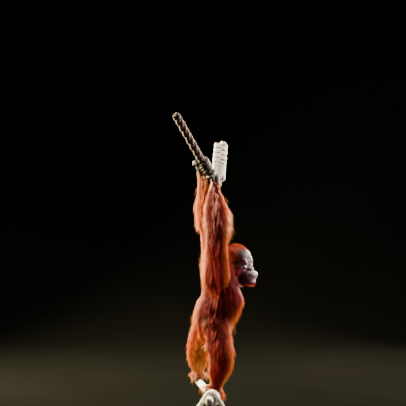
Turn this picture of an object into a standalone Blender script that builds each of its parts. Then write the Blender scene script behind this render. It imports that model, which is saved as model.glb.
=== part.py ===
# Orangutan, a still life-size display model: a young red ape stretched up between two ropes.
# It stands astride a knotted rope, holds a higher rope in both hands and looks over its right side.
# Frame: metres, +Z up, origin at the centre of the stand base's underside.
# The body faces about +X and turns a little to +Y; the animal's right side is towards -Y.
import math
import random

import bmesh
import bpy
from mathutils import Matrix, Vector
from mathutils.bvhtree import BVHTree

MODEL_NAME = "orangutan_display_model"
SEED = 41
CLEARANCE = 0.0003                     # gap kept between pieces that touch

# Skeleton, the joint centres of each side
SHOULDER = {"right": (0.034, -0.106, 1.045), "left": (0.000, 0.100, 1.060)}
ELBOW = {"right": (0.030, -0.190, 1.305), "left": (-0.036, 0.140, 1.345)}
WRIST = {"right": (0.006, -0.072, 1.572), "left": (-0.058, 0.024, 1.642)}
HIP = {"right": (0.020, -0.062, 0.705), "left": (-0.040, 0.084, 0.715)}
KNEE = {"right": (0.052, -0.160, 0.512), "left": (-0.098, 0.190, 0.510)}
ANKLE = {"right": (0.024, -0.172, 0.335), "left": (-0.104, 0.296, 0.345)}
SIDES = ("right", "left")

# Trunk: height, centre (x, y), half depth, half width of each level
FACING = math.radians(25)              # how far the body turns from +X towards +Y
TRUNK_LEVELS = (
    (0.612, (-0.008, 0.015), 0.050, 0.062),
    (0.660, (-0.004, 0.016), 0.082, 0.098),
    (0.735, (0.012, 0.020), 0.104, 0.112),
    (0.820, (0.038, 0.026), 0.116, 0.124),
    (0.900, (0.056, 0.026), 0.114, 0.132),
    (0.980, (0.045, 0.020), 0.103, 0.134),
    (1.045, (0.020, 0.010), 0.080, 0.120),
    (1.095, (0.012, 0.004), 0.058, 0.082),
    (1.125, (0.012, 0.002), 0.034, 0.048),
)

TRUNK_LOW = (0.020, 0.018, 0.700)      # the lowest and highest rows of the trunk's coat locks
TRUNK_HIGH = (0.024, 0.008, 1.060)

# Limb girths, as radii of the flesh along each limb
ARM_RADII = (0.064, 0.066, 0.052, 0.045, 0.045, 0.027, 0.025)
LEG_RADII = (0.076, 0.080, 0.072, 0.058, 0.053, 0.032, 0.029)
COAT_CORE = 0.012                      # the dense inner coat that the core of the solids takes in
BODY_VOXEL = 0.0125
BODY_FACES = 2000

# Head, in its own frame: forward, left, up from the centre of the braincase
HEAD_PLACE = (0.176, 0.020, 1.106)
HEAD_YAW = math.radians(-38)
HEAD_PITCH = math.radians(3)
HEAD_ROLL = math.radians(6)
HEAD_VOXEL = 0.0048
HEAD_FACES = 1000
EYE_PLACE = (0.0740, 0.0300, 0.0080)
EYE_RADIUS = 0.0122
LID_THICKNESS = 0.0036
EYE_OPENING = (0.0116, 0.0056)         # half width and half height between the lids
NECK_GIRTH = 0.063
NECK_ROUTE = ((0.030, 0.010, 0.985), (0.088, 0.014, 1.040), (0.152, 0.020, 1.082))
NECK_TOP = (0.112, 0.016, 1.050)       # a point of the plane where the head begins
NECK_AXIS = (0.740, 0.000, 0.672)

# Ropes
ROPE_RADIUS = 0.0255
UPPER_GRIP = (-0.0137, -0.030, 1.676)
UPPER_LEAN = (-0.400, -0.620, 0.680)   # the way the shaded half of the upper rope rises
GRIP_STEP = 0.112                      # from the right hand up to the left hand
UPPER_REACH = 0.56
PALM_TURN = {"right": 0.0, "left": math.radians(40)}   # how far round the rope each palm lies
FAR_REACH = 0.46
LOWER_RADIUS = 0.0235
LOWER_ROUTE = ((-0.030, -0.400, 0.262), (-0.006, -0.172, 0.250), (-0.056, 0.080, 0.246),
               (-0.100, 0.306, 0.250), (-0.124, 0.430, 0.254))

# Stand
BASE_SIZE = (0.62, 0.92, 0.028)
ROD_RADIUS = 0.012
ROD_SOCKET = 0.013
ROD_PLACES = {"stand_rod_front": -0.366, "stand_rod_rear": 0.085}

# Coat locks: rows along the part, locks in each row, length; each is flat, tapered and bends down
LOCK_ROWS = {
    "torso": (5, 8, 0.160),
    "upper_arm": (4, 4, 0.130),
    "forearm": (4, 4, 0.135),
    "thigh": (3, 6, 0.125),
    "shin": (3, 4, 0.100),
    "head": (4, 6, 0.063),
    "foot": (1, 3, 0.060),
}
# Rows of the head: rise in degrees, bare half angle in front, centre height, fall and sweep to the back
HEAD_ROWS = ((58, 58, 0.030, 0.5, 0.9), (14, 74, 0.030, 0.5, 0.9), (-8, 73, -0.070, 1.0, 0.25),
             (-44, 62, -0.070, 1.0, 0.25))
LOCK_WIDTH = 0.035
LOCK_THICKNESS = 0.0085
LOCK_SINK = 0.009                      # how deep a lock's root goes into its node
LOCK_STEPS = 3
LOCK_STAND_OFF = (0.003, 0.010, 0.021)   # distance from the skin at each step, root to tip
LOCK_FALL = 0.50                       # how fast a lock bends down under its own weight
LOCK_TRIES = (1.0, 0.78, 0.58)         # shorter lengths tried where a lock would meet another node

PALETTE = {
    "coat": ((0.42, 0.085, 0.016), 0.62),
    "coat_limb": ((0.55, 0.15, 0.030), 0.62),
    "face": ((0.215, 0.135, 0.125), 0.50),
    "palm": ((0.070, 0.040, 0.036), 0.55),
    "eye": ((0.030, 0.014, 0.008), 0.12),
    "rope_dark": ((0.075, 0.050, 0.042), 0.90),
    "rope_pale": ((0.62, 0.58, 0.54), 0.88),
    "stand": ((0.030, 0.030, 0.032), 0.45),
}


def clear_scene():
    for obj in list(bpy.data.objects):
        bpy.data.objects.remove(obj, do_unlink=True)


def make_collection(name):
    group = bpy.data.collections.new(name)
    bpy.context.scene.collection.children.link(group)
    return group


def new_object(name, mesh, group):
    obj = bpy.data.objects.new(name, mesh)
    group.objects.link(obj)
    return obj


def bake(obj):
    # keeps the evaluated mesh as the object's own and drops its modifiers
    graph = bpy.context.evaluated_depsgraph_get()
    mesh = bpy.data.meshes.new_from_object(obj.evaluated_get(graph))
    old = obj.data
    obj.modifiers.clear()
    obj.data = mesh
    bpy.data.meshes.remove(old)
    return obj


def drop(obj):
    mesh = obj.data
    bpy.data.objects.remove(obj, do_unlink=True)
    if mesh.users == 0:
        bpy.data.meshes.remove(mesh)


def from_bmesh(name, bm, group):
    mesh = bpy.data.meshes.new(name)
    bm.to_mesh(mesh)
    bm.free()
    return new_object(name, mesh, group)


def smooth_curve(points, steps):
    # Catmull-Rom points through the given ones, steps to each span
    pts = [Vector(p) for p in points]
    pts = [2 * pts[0] - pts[1]] + pts + [2 * pts[-1] - pts[-2]]
    path = []
    for i in range(1, len(pts) - 2):
        a, b, c, d = pts[i - 1:i + 3]
        for k in range(steps):
            t = k / steps
            path.append(0.5 * ((2 * b) + (c - a) * t + (2 * a - 5 * b + 4 * c - d) * t * t
                               + (3 * b - a - 3 * c + d) * t ** 3))
    path.append(pts[-2])
    return path


def spread(values, count):
    # reads a short list of values at count even steps
    out = []
    for i in range(count):
        f = i / (count - 1) * (len(values) - 1)
        k = min(int(f), len(values) - 2)
        out.append(values[k] + (values[k + 1] - values[k]) * (f - k))
    return out


def tube_into(bm, path, radii, sides, flat=1.0, up=Vector((0, 0, 1))):
    # a closed tube of varying girth along a path; flat squeezes it across its second axis
    rings = []
    side = None
    for i, point in enumerate(path):
        ahead = (path[min(i + 1, len(path) - 1)] - path[max(i - 1, 0)]).normalized()
        if side is None:
            side = ahead.cross(up)
            if side.length < 0.1:
                side = ahead.cross(Vector((1, 0, 0)))
        side = (side - ahead * side.dot(ahead)).normalized()
        other = ahead.cross(side)
        ring = []
        for k in range(sides):
            turn = 2 * math.pi * k / sides
            ring.append(bm.verts.new(point + side * (radii[i] * math.cos(turn))
                                     + other * (radii[i] * flat * math.sin(turn))))
        rings.append(ring)
    for low, high in zip(rings, rings[1:]):
        for k in range(sides):
            n = (k + 1) % sides
            bm.faces.new((low[k], low[n], high[n], high[k]))
    bm.faces.new(list(reversed(rings[0])))
    bm.faces.new(rings[-1])


def tube(name, path, radii, sides, group, flat=1.0):
    bm = bmesh.new()
    tube_into(bm, path, radii, sides, flat)
    bmesh.ops.recalc_face_normals(bm, faces=bm.faces)
    return from_bmesh(name, bm, group)


def ball_into(bm, centre, radii, frame=Matrix.Identity(3), rings=14):
    made = bmesh.ops.create_uvsphere(bm, u_segments=rings + 6, v_segments=rings, radius=1.0)
    place = Matrix.Translation(Vector(centre)) @ frame.to_4x4() @ Matrix.Diagonal((*radii, 1.0))
    bmesh.ops.transform(bm, matrix=place, verts=made["verts"])


def ball(name, centre, radii, group, frame=Matrix.Identity(3), rings=14):
    bm = bmesh.new()
    ball_into(bm, centre, radii, frame, rings)
    return from_bmesh(name, bm, group)


def cylinder(name, start, end, radius, sides, group):
    start, end = Vector(start), Vector(end)
    axis = end - start
    bm = bmesh.new()
    bmesh.ops.create_cone(bm, cap_ends=True, segments=sides, radius1=radius, radius2=radius,
                          depth=axis.length)
    turn = axis.normalized().to_track_quat("Z", "Y").to_matrix().to_4x4()
    bmesh.ops.transform(bm, matrix=Matrix.Translation((start + end) / 2) @ turn, verts=bm.verts)
    return from_bmesh(name, bm, group)


def cut(obj, cutter, solver="EXACT"):
    mod = obj.modifiers.new("Cut", "BOOLEAN")
    mod.operation = "DIFFERENCE"
    mod.object = cutter
    mod.solver = solver
    bake(obj)
    drop(cutter)
    return obj


def fuse(obj, pieces, solver="EXACT"):
    # one union of the object with a collection of closed pieces, which are then removed
    if not pieces:
        return obj
    group = make_collection("fusing")
    for piece in pieces:
        for old in list(piece.users_collection):
            old.objects.unlink(piece)
        group.objects.link(piece)
    mod = obj.modifiers.new("Fuse", "BOOLEAN")
    mod.operation = "UNION"
    mod.operand_type = "COLLECTION"
    mod.collection = group
    mod.solver = solver
    bake(obj)
    for piece in pieces:
        drop(piece)
    bpy.data.collections.remove(group)
    return obj


def islands(bm):
    seen = set()
    groups = []
    for start in bm.verts:
        if start in seen:
            continue
        seen.add(start)
        stack, found = [start], []
        while stack:
            vert = stack.pop()
            found.append(vert)
            for edge in vert.link_edges:
                other = edge.other_vert(vert)
                if other not in seen:
                    seen.add(other)
                    stack.append(other)
        groups.append(found)
    return groups


def volume_of(verts):
    faces = {face for vert in verts for face in vert.link_faces}
    total = 0.0
    for face in faces:
        corners = [loop.vert.co for loop in face.loops]
        for k in range(1, len(corners) - 1):
            total += corners[0].dot(corners[k].cross(corners[k + 1])) / 6
    return total


def keep_largest(obj):
    # keeps the closed surface that holds the most, and makes its faces triangles
    bm = bmesh.new()
    bm.from_mesh(obj.data)
    groups = islands(bm)
    best = max(groups, key=volume_of)
    if len(groups) > 1:
        keep = set(best)
        bmesh.ops.delete(bm, geom=[v for v in bm.verts if v not in keep], context="VERTS")
    bmesh.ops.triangulate(bm, faces=bm.faces)
    bm.to_mesh(obj.data)
    bm.free()
    return obj


def soft_form(name, bm, voxel, faces, group, smoothing=6):
    # melts a heap of overlapping forms into one skin
    obj = from_bmesh(name, bm, group)
    mod = obj.modifiers.new("Melt", "REMESH")
    mod.mode = "VOXEL"
    mod.voxel_size = voxel
    bake(obj)
    keep_largest(obj)
    mod = obj.modifiers.new("Smooth", "SMOOTH")
    mod.factor = 0.5
    mod.iterations = smoothing
    bake(obj)
    mod = obj.modifiers.new("Fewer", "DECIMATE")
    mod.ratio = min(1.0, faces / len(obj.data.polygons))
    bake(obj)
    return keep_largest(obj)


def swollen(obj, amount, group):
    # a copy whose surface stands out by the amount, used to keep a gap
    copy = new_object(obj.name + "_swollen", obj.data.copy(), group)
    mod = copy.modifiers.new("Swell", "DISPLACE")
    mod.mid_level = 0.0
    mod.strength = amount
    return bake(copy)


def tree_of(obj):
    bm = bmesh.new()
    bm.from_mesh(obj.data)
    tree = BVHTree.FromBMesh(bm)
    bm.free()
    return tree


# Body

def trunk_path():
    turn = Matrix.Rotation(FACING, 3, "Z")
    rings = []
    for height, (x, y), depth, width in TRUNK_LEVELS:
        rings.append((Vector((x, y, height)), depth, width))
    return turn, rings


def trunk_into(bm, swell):
    turn, rings = trunk_path()
    sides = 28
    loops = []
    for centre, depth, width in rings:
        loop = []
        for k in range(sides):
            angle = 2 * math.pi * k / sides
            spoke = Vector(((depth + swell) * math.cos(angle), (width + swell) * math.sin(angle), 0))
            loop.append(bm.verts.new(centre + turn @ spoke))
        loops.append(loop)
    for low, high in zip(loops, loops[1:]):
        for k in range(sides):
            n = (k + 1) % sides
            bm.faces.new((low[k], low[n], high[n], high[k]))
    bm.faces.new(list(reversed(loops[0])))
    bm.faces.new(loops[-1])


def limb_path(side, kind):
    if kind == "arm":
        return [SHOULDER[side], ELBOW[side], WRIST[side]]
    return [HIP[side], KNEE[side], ANKLE[side]]


def limb_into(bm, side, kind, swell):
    joints = [Vector(p) for p in limb_path(side, kind)]
    inside = Vector((0.03, 0.01, 0.94)) if kind == "arm" else Vector((-0.004, 0.016, 0.74))
    root = joints[0].lerp(inside, 0.55)
    tip = joints[2] + (joints[2] - joints[1]).normalized() * 0.035
    path = smooth_curve([root, joints[0], joints[0].lerp(joints[1], 0.5), joints[1],
                         joints[1].lerp(joints[2], 0.5), joints[2], tip], 4)
    table = ARM_RADII if kind == "arm" else LEG_RADII
    radii = [r + swell * min(1.0, r / 0.045) for r in spread(table, len(path))]
    tube_into(bm, path, radii, 18)


def neck_node(group, work, nodes):
    # a short thick neck, fitted to the trunk and the near arm, and cut flat under the head
    bm = bmesh.new()
    path = smooth_curve(NECK_ROUTE, 4)
    tube_into(bm, path, [NECK_GIRTH + COAT_CORE * 0.6] * len(path), 20)
    neck = soft_form("neck", bm, BODY_VOXEL, 460, group)
    axis = Vector(NECK_AXIS).normalized()
    top = Vector(NECK_TOP) - axis * (CLEARANCE / 2)
    cut(neck, cylinder("neck_top", top, top + axis * 0.15, 0.16, 32, work))
    for name in ("torso", "upper_arm_right", "upper_arm_left"):
        cut(neck, swollen(nodes[name], CLEARANCE, work))
    return keep_largest(neck)


def head_frame():
    turn = (Matrix.Rotation(HEAD_YAW, 4, "Z") @ Matrix.Rotation(HEAD_PITCH, 4, "Y")
            @ Matrix.Rotation(HEAD_ROLL, 4, "X"))
    return Matrix.Translation(Vector(HEAD_PLACE)) @ turn


def joint_discs():
    # thin discs across the limbs: centre, axis, radius
    discs = {}
    for side in SIDES:
        shoulder, elbow, wrist = (Vector(t[side]) for t in (SHOULDER, ELBOW, WRIST))
        hip, knee, ankle = (Vector(t[side]) for t in (HIP, KNEE, ANKLE))
        chest = Vector((0.030, 0.010, 0.985))
        outward = (shoulder - chest).normalized()
        up = (elbow - shoulder).normalized()
        discs["shoulder_" + side] = (shoulder + up * 0.030, (up * 0.85 + outward * 0.45).normalized(), 0.125)
        discs["elbow_" + side] = (elbow, (wrist - shoulder).normalized(), 0.085)
        discs["wrist_" + side] = (wrist, (wrist - elbow).normalized(), 0.047)
        down = (knee - hip).normalized()
        pelvis = Vector((-0.006, 0.014, 0.72))
        away = (hip - pelvis).normalized()
        facing = (down * 0.62 + away * 0.78).normalized()
        discs["hip_" + side] = (hip + down * 0.012 + away * 0.012, facing, 0.126)
        discs["knee_" + side] = (knee, (ankle - hip).normalized(), 0.095)
        discs["ankle_" + side] = (ankle, (ankle - knee).normalized(), 0.062)
    return discs


def body_nodes(group, work):
    bm = bmesh.new()
    trunk_into(bm, COAT_CORE)
    for side in SIDES:
        limb_into(bm, side, "arm", COAT_CORE)
        limb_into(bm, side, "leg", COAT_CORE)
    whole = soft_form("body", bm, BODY_VOXEL, BODY_FACES, work)
    tree = tree_of(whole)
    for name, (centre, axis, radius) in joint_discs().items():
        half = axis * (CLEARANCE / 2)
        cut(whole, cylinder("knife_" + name, centre - half, centre + half, radius, 24, work))

    middles = {"torso": Vector((0.04, 0.02, 0.88))}
    for side in SIDES:
        for name, a, b in (("upper_arm", SHOULDER, ELBOW), ("forearm", ELBOW, WRIST),
                           ("thigh", HIP, KNEE), ("shin", KNEE, ANKLE)):
            middles[name + "_" + side] = (Vector(a[side]) + Vector(b[side])) / 2

    bm = bmesh.new()
    bm.from_mesh(whole.data)
    pieces = {}
    for verts in islands(bm):
        middle = sum((v.co for v in verts), Vector()) / len(verts)
        size = volume_of(verts)
        name = min(middles, key=lambda n: (middles[n] - middle).length)
        if name not in pieces or size > pieces[name][0]:
            pieces[name] = (size, {v.index for v in verts})
    bm.free()
    nodes = {}
    for name, (size, wanted) in pieces.items():
        bm = bmesh.new()
        bm.from_mesh(whole.data)
        bm.verts.ensure_lookup_table()
        bmesh.ops.delete(bm, geom=[v for v in bm.verts if v.index not in wanted], context="VERTS")
        nodes[name] = keep_largest(from_bmesh(name, bm, group))
    drop(whole)
    return nodes, tree


# Head

HEAD_FORMS = (
    ((-0.012, 0.000, 0.036), (0.086, 0.071, 0.073)),
    ((0.036, 0.000, 0.042), (0.046, 0.057, 0.052)),
    ((0.043, 0.000, -0.016), (0.042, 0.060, 0.050)),
    ((0.074, 0.000, -0.082), (0.058, 0.053, 0.043)),
    ((0.098, 0.000, -0.076), (0.041, 0.044, 0.031)),
    ((0.050, 0.000, -0.112), (0.066, 0.050, 0.033)),
    ((0.092, 0.000, -0.120), (0.034, 0.035, 0.024)),
    ((0.012, 0.000, -0.096), (0.056, 0.050, 0.045)),
    ((0.093, 0.000, -0.038), (0.020, 0.019, 0.012)),
    ((0.077, 0.000, -0.004), (0.012, 0.011, 0.032)),
)
HEAD_PAIRS = (
    ((0.060, 0.027, 0.029), (0.020, 0.027, 0.011)),
    ((0.036, 0.040, -0.034), (0.038, 0.029, 0.038)),
    ((0.000, 0.044, -0.066), (0.045, 0.025, 0.050)),
    ((0.052, 0.034, -0.024), (0.031, 0.023, 0.016)),
)
NOSTRIL = ((0.1095, 0.0095, -0.0405), (0.009, 0.0042, 0.0055))
MOUTH_SWEEP = math.radians(68)
MOUTH_CENTRE = (0.060, 0.0, -0.101)
EAR_PLACE = (-0.014, 0.075, 0.008)


def mirrored(point, sign):
    return Vector((point[0], point[1] * sign, point[2]))


def mouth_line(tree, lift, out):
    # points round the muzzle where the lips meet, read from its surface
    centre = Vector(MOUTH_CENTRE)
    path = []
    for k in range(9):
        turn = MOUTH_SWEEP * (k / 4 - 1)
        rise = 0.013 * (abs(turn) / MOUTH_SWEEP) ** 2
        start = centre + Vector((0, 0, lift + rise))
        ray = Vector((math.cos(turn), math.sin(turn), 0))
        hit = tree.ray_cast(start + ray * 0.2, -ray)[0]
        path.append(hit + ray * out)
    return path


def head_node(group, work):
    bm = bmesh.new()
    for centre, radii in HEAD_FORMS:
        ball_into(bm, centre, radii, rings=18)
    for sign in (1, -1):
        for centre, radii in HEAD_PAIRS:
            ball_into(bm, mirrored(centre, sign), radii, rings=18)
        lid = EYE_RADIUS + LID_THICKNESS
        ball_into(bm, mirrored(EYE_PLACE, sign), (lid, lid, lid), rings=18)
    tube_into(bm, [Vector((0.000, 0, -0.020)), Vector((-0.085, 0.0, -0.110))], [0.060, 0.068], 20)
    head = soft_form("head", bm, HEAD_VOXEL, HEAD_FACES, group, smoothing=3)
    tree = tree_of(head)
    lips = []
    for lift, size in ((0.0062, 0.0052), (-0.0062, 0.0048)):
        path = mouth_line(tree, lift, -0.0015)
        radii = [size * (0.35 + 0.65 * math.sin(math.pi * k / 8) ** 0.6) for k in range(9)]
        lips.append(tube("lip", path, radii, 6, work))
    fuse(head, lips)
    tree = tree_of(head)
    groove = mouth_line(tree, 0.0, -0.0005)
    cut(head, tube("mouth_groove", groove, [0.0024] * len(groove), 6, work))
    for sign in (1, -1):
        eye = mirrored(EYE_PLACE, sign)
        gap = EYE_RADIUS + CLEARANCE
        cut(head, ball("socket", eye, (gap, gap, gap), work, rings=7))
        wide, tall = EYE_OPENING
        front = eye + Vector((0.012, 0.001 * sign, 0))
        cut(head, ball("eye_opening", front, (0.012, wide, tall), work, rings=8))
        splay = Matrix.Rotation(math.radians(24 * sign), 3, "Z")
        cut(head, ball("nostril", mirrored(NOSTRIL[0], sign), NOSTRIL[1], work, splay, rings=6))
    keep_largest(head)
    head.data.transform(head_frame())
    return head


def eye_nodes(group):
    nodes = {}
    for side, sign in (("right", -1), ("left", 1)):
        name = "eye_" + side
        bm = bmesh.new()
        ball_into(bm, mirrored(EYE_PLACE, sign), (EYE_RADIUS,) * 3, rings=7)
        nodes[name] = from_bmesh(name, bm, group)
        nodes[name].data.transform(head_frame())
    return nodes


def ear_nodes(group, work, head):
    nodes = {}
    for side, sign in (("right", -1), ("left", 1)):
        tilt = Matrix.Rotation(math.radians(-28 * sign), 3, "Z") @ Matrix.Rotation(math.radians(-12), 3, "Y")
        place = mirrored(EAR_PLACE, sign)
        ear = ball("ear_" + side, place, (0.0155, 0.0085, 0.0205), group, tilt, rings=7)
        hollow = place + tilt @ Vector((0.0015, 0.0085 * sign, 0.001))
        cut(ear, ball("ear_cup", hollow, (0.0108, 0.0078, 0.0150), work, tilt, rings=5))
        ear.data.transform(head_frame())
        cut(ear, swollen(head, CLEARANCE, work))
        nodes["ear_" + side] = keep_largest(ear)
    return nodes


# Ropes and stand

def upper_lean():
    return Vector(UPPER_LEAN).normalized()


def upper_rope_route():
    grip, lean = Vector(UPPER_GRIP), upper_lean()
    near = [grip + lean * reach for reach in (UPPER_REACH, 0.40, 0.22, GRIP_STEP, 0.0)]
    bend = grip - lean * 0.085 + Vector((0.010, 0.020, 0.008))
    away = Vector((0.070, 0.760, 0.640)).normalized()
    far = [bend + away * reach for reach in (0.060, 0.18, FAR_REACH)]
    return near, bend, far


def rope_nodes(group, work):
    nodes = {}
    near, bend, far = upper_rope_route()
    path = smooth_curve(near + [bend] + far[:1], 2)
    nodes["rope_upper"] = tube("rope_upper", path, [ROPE_RADIUS] * len(path), 12, group)
    start = path[-1]
    ahead = (far[1] - far[0]).normalized()
    path = smooth_curve([start + ahead * CLEARANCE] + far[1:], 5)
    radii = [0.036 + 0.009 * math.sin(k * 2.4) for k in range(len(path))]
    far_rope = tube("rope_upper_far", path, radii, 12, group)
    nodes["rope_upper_far"] = cut(far_rope, swollen(nodes["rope_upper"], CLEARANCE, work))
    path = smooth_curve(LOWER_ROUTE, 3)
    lower = tube("rope_lower", path, [LOWER_RADIUS] * len(path), 12, group)
    nodes["rope_lower"] = lower
    return nodes


def lower_rope_at(y):
    path = smooth_curve(LOWER_ROUTE, 12)
    for a, b in zip(path, path[1:]):
        if a.y <= y <= b.y:
            return a.lerp(b, (y - a.y) / (b.y - a.y))
    return path[-1]


def knot_node(group, work, rope):
    # a lashing of three turns round the rope, whose two ends hang to either side
    centre = lower_rope_at(-0.284)
    axis = (lower_rope_at(-0.324) - lower_rope_at(-0.244)).normalized()
    side = axis.cross(Vector((0, 0, 1))).normalized()
    over = side.cross(axis)
    reach = LOWER_RADIUS + 0.0165
    path = []
    turns = 2.6
    count = 30
    for k in range(count + 1):
        f = k / count
        angle = 2 * math.pi * turns * f - 0.6
        along = (f - 0.5) * 0.078
        around = side * (reach * math.cos(angle)) + over * (reach * math.sin(angle))
        path.append(centre + axis * along + around)
    head = [path[0] + Vector((-0.075, 0.030, -0.070)), path[0] + Vector((-0.040, 0.018, -0.024))]
    tail = [path[-1] + Vector((0.030, -0.010, -0.030)), path[-1] + Vector((0.060, -0.004, -0.085))]
    path = smooth_curve(head + path[1:-1:2] + tail, 1)
    knot = tube("rope_knot", path, [0.0155] * len(path), 7, group)
    cut(knot, swollen(rope, CLEARANCE, work))
    return keep_largest(knot)


def stand_nodes(group, work, rope):
    nodes = {}
    wide, deep, thick = BASE_SIZE
    bm = bmesh.new()
    bmesh.ops.create_cube(bm, size=1.0)
    place = Matrix.Translation((0, 0, thick / 2)) @ Matrix.Diagonal((wide, deep, thick, 1))
    bmesh.ops.transform(bm, matrix=place, verts=bm.verts)
    base = from_bmesh("stand_base", bm, group)
    mod = base.modifiers.new("Edges", "BEVEL")
    mod.width = 0.004
    mod.segments = 2
    bake(base)
    nodes["stand_base"] = keep_largest(base)
    for name, y in ROD_PLACES.items():
        top = lower_rope_at(y)
        foot = Vector((top.x, top.y, thick + CLEARANCE))
        head = Vector((top.x, top.y, top.z - LOWER_RADIUS + ROD_SOCKET))
        nodes[name] = keep_largest(cylinder(name, foot, head, ROD_RADIUS, 16, group))
        room = Vector((0, 0, CLEARANCE))
        cut(rope, cylinder("socket", foot - room, head + room, ROD_RADIUS + CLEARANCE, 16, work))
    return nodes


# Hands and feet

def wrapped_digit(bm, hub, along, out, up, plan):
    # plan: offset along the rope, lead points (out, up), wrap start, wrap end, rope and digit radii
    shift, lead, begin, finish, rope, size, sides = plan
    centre = hub + along * shift
    path = [centre + out * u + up * v for u, v in lead]
    count = 7
    for k in range(count + 1):
        turn = begin + (finish - begin) * k / count
        reach = rope + size * 0.96
        path.append(centre + out * (reach * math.cos(turn)) + up * (reach * math.sin(turn)))
    radii = spread([size * 1.12, size * 1.08, size, size * 1.02, size * 0.92, size * 0.72], len(path))
    tube_into(bm, path, radii, sides)


def hand_node(side, group, work, rope):
    lean = upper_lean()
    step = 0.0 if side == "right" else GRIP_STEP
    hub = Vector(UPPER_GRIP) + lean * step
    up = (Vector((0, 0, 1)) - lean * lean.z).normalized()
    out = up.cross(lean).normalized()
    if (out.y < 0) != (side == "right"):
        out = -out
    turn = PALM_TURN[side]
    out, up = out * math.cos(turn) + up * math.sin(turn), up * math.cos(turn) - out * math.sin(turn)
    wrist = Vector(WRIST[side])
    elbow = Vector(ELBOW[side])
    arm = (wrist - elbow).normalized()
    palm = hub + out * (ROPE_RADIUS + 0.0165) + up * -0.012
    bm = bmesh.new()
    path = smooth_curve([wrist - arm * 0.030, wrist + arm * 0.012, wrist.lerp(palm, 0.62), palm,
                         palm + up * 0.020 + out * -0.004], 3)
    radii = spread([0.027, 0.026, 0.028, 0.031, 0.030, 0.020], len(path))
    tube_into(bm, path, radii, 14)
    fingers = ((-0.033, 0.0098), (-0.011, 0.0106), (0.011, 0.0108), (0.033, 0.0102))
    for k, (shift, size) in enumerate(fingers):
        lead = [(ROPE_RADIUS + 0.020, -0.050), (ROPE_RADIUS + 0.0165, -0.020)]
        end = math.radians(232 + 8 * (k % 3))
        wrapped_digit(bm, hub, lean, out, up, (shift, lead, math.radians(8), end, ROPE_RADIUS, size, 10))
    thumb_side = 0.036
    path = smooth_curve([palm + lean * (thumb_side * 0.4) - up * 0.040,
                         palm + lean * thumb_side - up * 0.030,
                         palm + lean * (thumb_side * 1.15) - out * 0.016 - up * 0.030,
                         palm + lean * (thumb_side * 1.05) - out * 0.042 - up * 0.026], 3)
    tube_into(bm, path, spread([0.012, 0.0105, 0.0095, 0.0075], len(path)), 10)
    hand = soft_form("hand_" + side, bm, 0.0042, 440, group, smoothing=2)
    cut(hand, swollen(rope, CLEARANCE, work))
    end = wrist + arm * (CLEARANCE / 2)
    cut(hand, cylinder("wrist_cut", end - arm * 0.08, end, 0.09, 20, work))
    return keep_largest(hand)


def foot_node(side, group, work, rope):
    ankle = Vector(ANKLE[side])
    knee = Vector(KNEE[side])
    shin = (ankle - knee).normalized()
    hub = lower_rope_at(ankle.y)
    along = (lower_rope_at(ankle.y - 0.05) - lower_rope_at(ankle.y + 0.05)).normalized()
    up = (Vector((0, 0, 1)) - along * along.z).normalized()
    out = along.cross(up).normalized()
    if out.x < 0:
        out = -out
    inner = along * (-1 if side == "right" else 1)
    ride = LOWER_RADIUS + 0.019
    bm = bmesh.new()
    sole = []
    for turn in (128, 100, 70, 38, 8):
        a = math.radians(turn)
        sole.append(hub + out * (ride * 1.06 * math.cos(a)) + up * (ride * math.sin(a)))
    heel = hub - out * 0.046 + up * (ride * 0.86)
    path = smooth_curve([heel, sole[1], sole[2], sole[3], sole[4]], 3)
    radii = spread([0.020, 0.024, 0.026, 0.025, 0.020], len(path))
    for shift in (-0.012, 0.012):
        tube_into(bm, [p + along * shift for p in path], radii, 14)
    tube_into(bm, [ankle - shin * 0.035, ankle + shin * 0.004, sole[1].lerp(sole[2], 0.5)],
              [0.031, 0.030, 0.030], 16)
    toes = ((-0.034, 0.0098), (-0.012, 0.0106), (0.010, 0.0106), (0.031, 0.0098))
    for k, (shift, size) in enumerate(toes):
        lead = [(ride * 0.80, ride * 0.62), (ride * 1.02, ride * 0.22)]
        end = math.radians(-158 - 9 * (k % 2))
        wrapped_digit(bm, hub, along, out, up,
                      (shift, lead, math.radians(-14), end, LOWER_RADIUS, size, 10))
    toe = [hub + inner * 0.034 + out * (ride * math.cos(math.radians(t)) * 0.93)
           + up * (ride * math.sin(math.radians(t)) * 0.93) for t in (96, 122, 150, 178, 204, 226)]
    tube_into(bm, toe, spread([0.016, 0.014, 0.0125, 0.010], len(toe)), 10)
    foot = soft_form("foot_" + side, bm, 0.0046, 360, group, smoothing=2)
    cut(foot, swollen(rope, CLEARANCE, work))
    start = ankle + shin * (CLEARANCE / 2)
    cut(foot, cylinder("ankle_cut", start - shin * 0.09, start, 0.10, 20, work))
    return keep_largest(foot)


# Coat locks

def lock_mesh(name, path, heading_normals, width, thickness, group):
    # a flat blade of three edges: two sides and a low ridge on its outer face
    shape = (0.80, 1.0, 0.66)
    bm = bmesh.new()
    rings = []
    for i, point in enumerate(path[:-1]):
        ahead = (path[i + 1] - path[max(i - 1, 0)]).normalized()
        outer = heading_normals[i]
        side = ahead.cross(outer).normalized()
        outer = side.cross(ahead)
        half = width / 2 * shape[i]
        ring = [bm.verts.new(point - side * half), bm.verts.new(point + side * half),
                bm.verts.new(point + outer * (thickness * (0.6 + 0.4 * shape[i])))]
        rings.append(ring)
    tip = bm.verts.new(path[-1])
    for low, high in zip(rings, rings[1:]):
        for k in range(3):
            n = (k + 1) % 3
            bm.faces.new((low[k], low[n], high[n]))
            bm.faces.new((low[k], high[n], high[k]))
    for k in range(3):
        bm.faces.new((rings[-1][k], rings[-1][(k + 1) % 3], tip))
    bm.faces.new(list(reversed(rings[0])))
    bmesh.ops.recalc_face_normals(bm, faces=bm.faces)
    return from_bmesh(name, bm, group)


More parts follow.
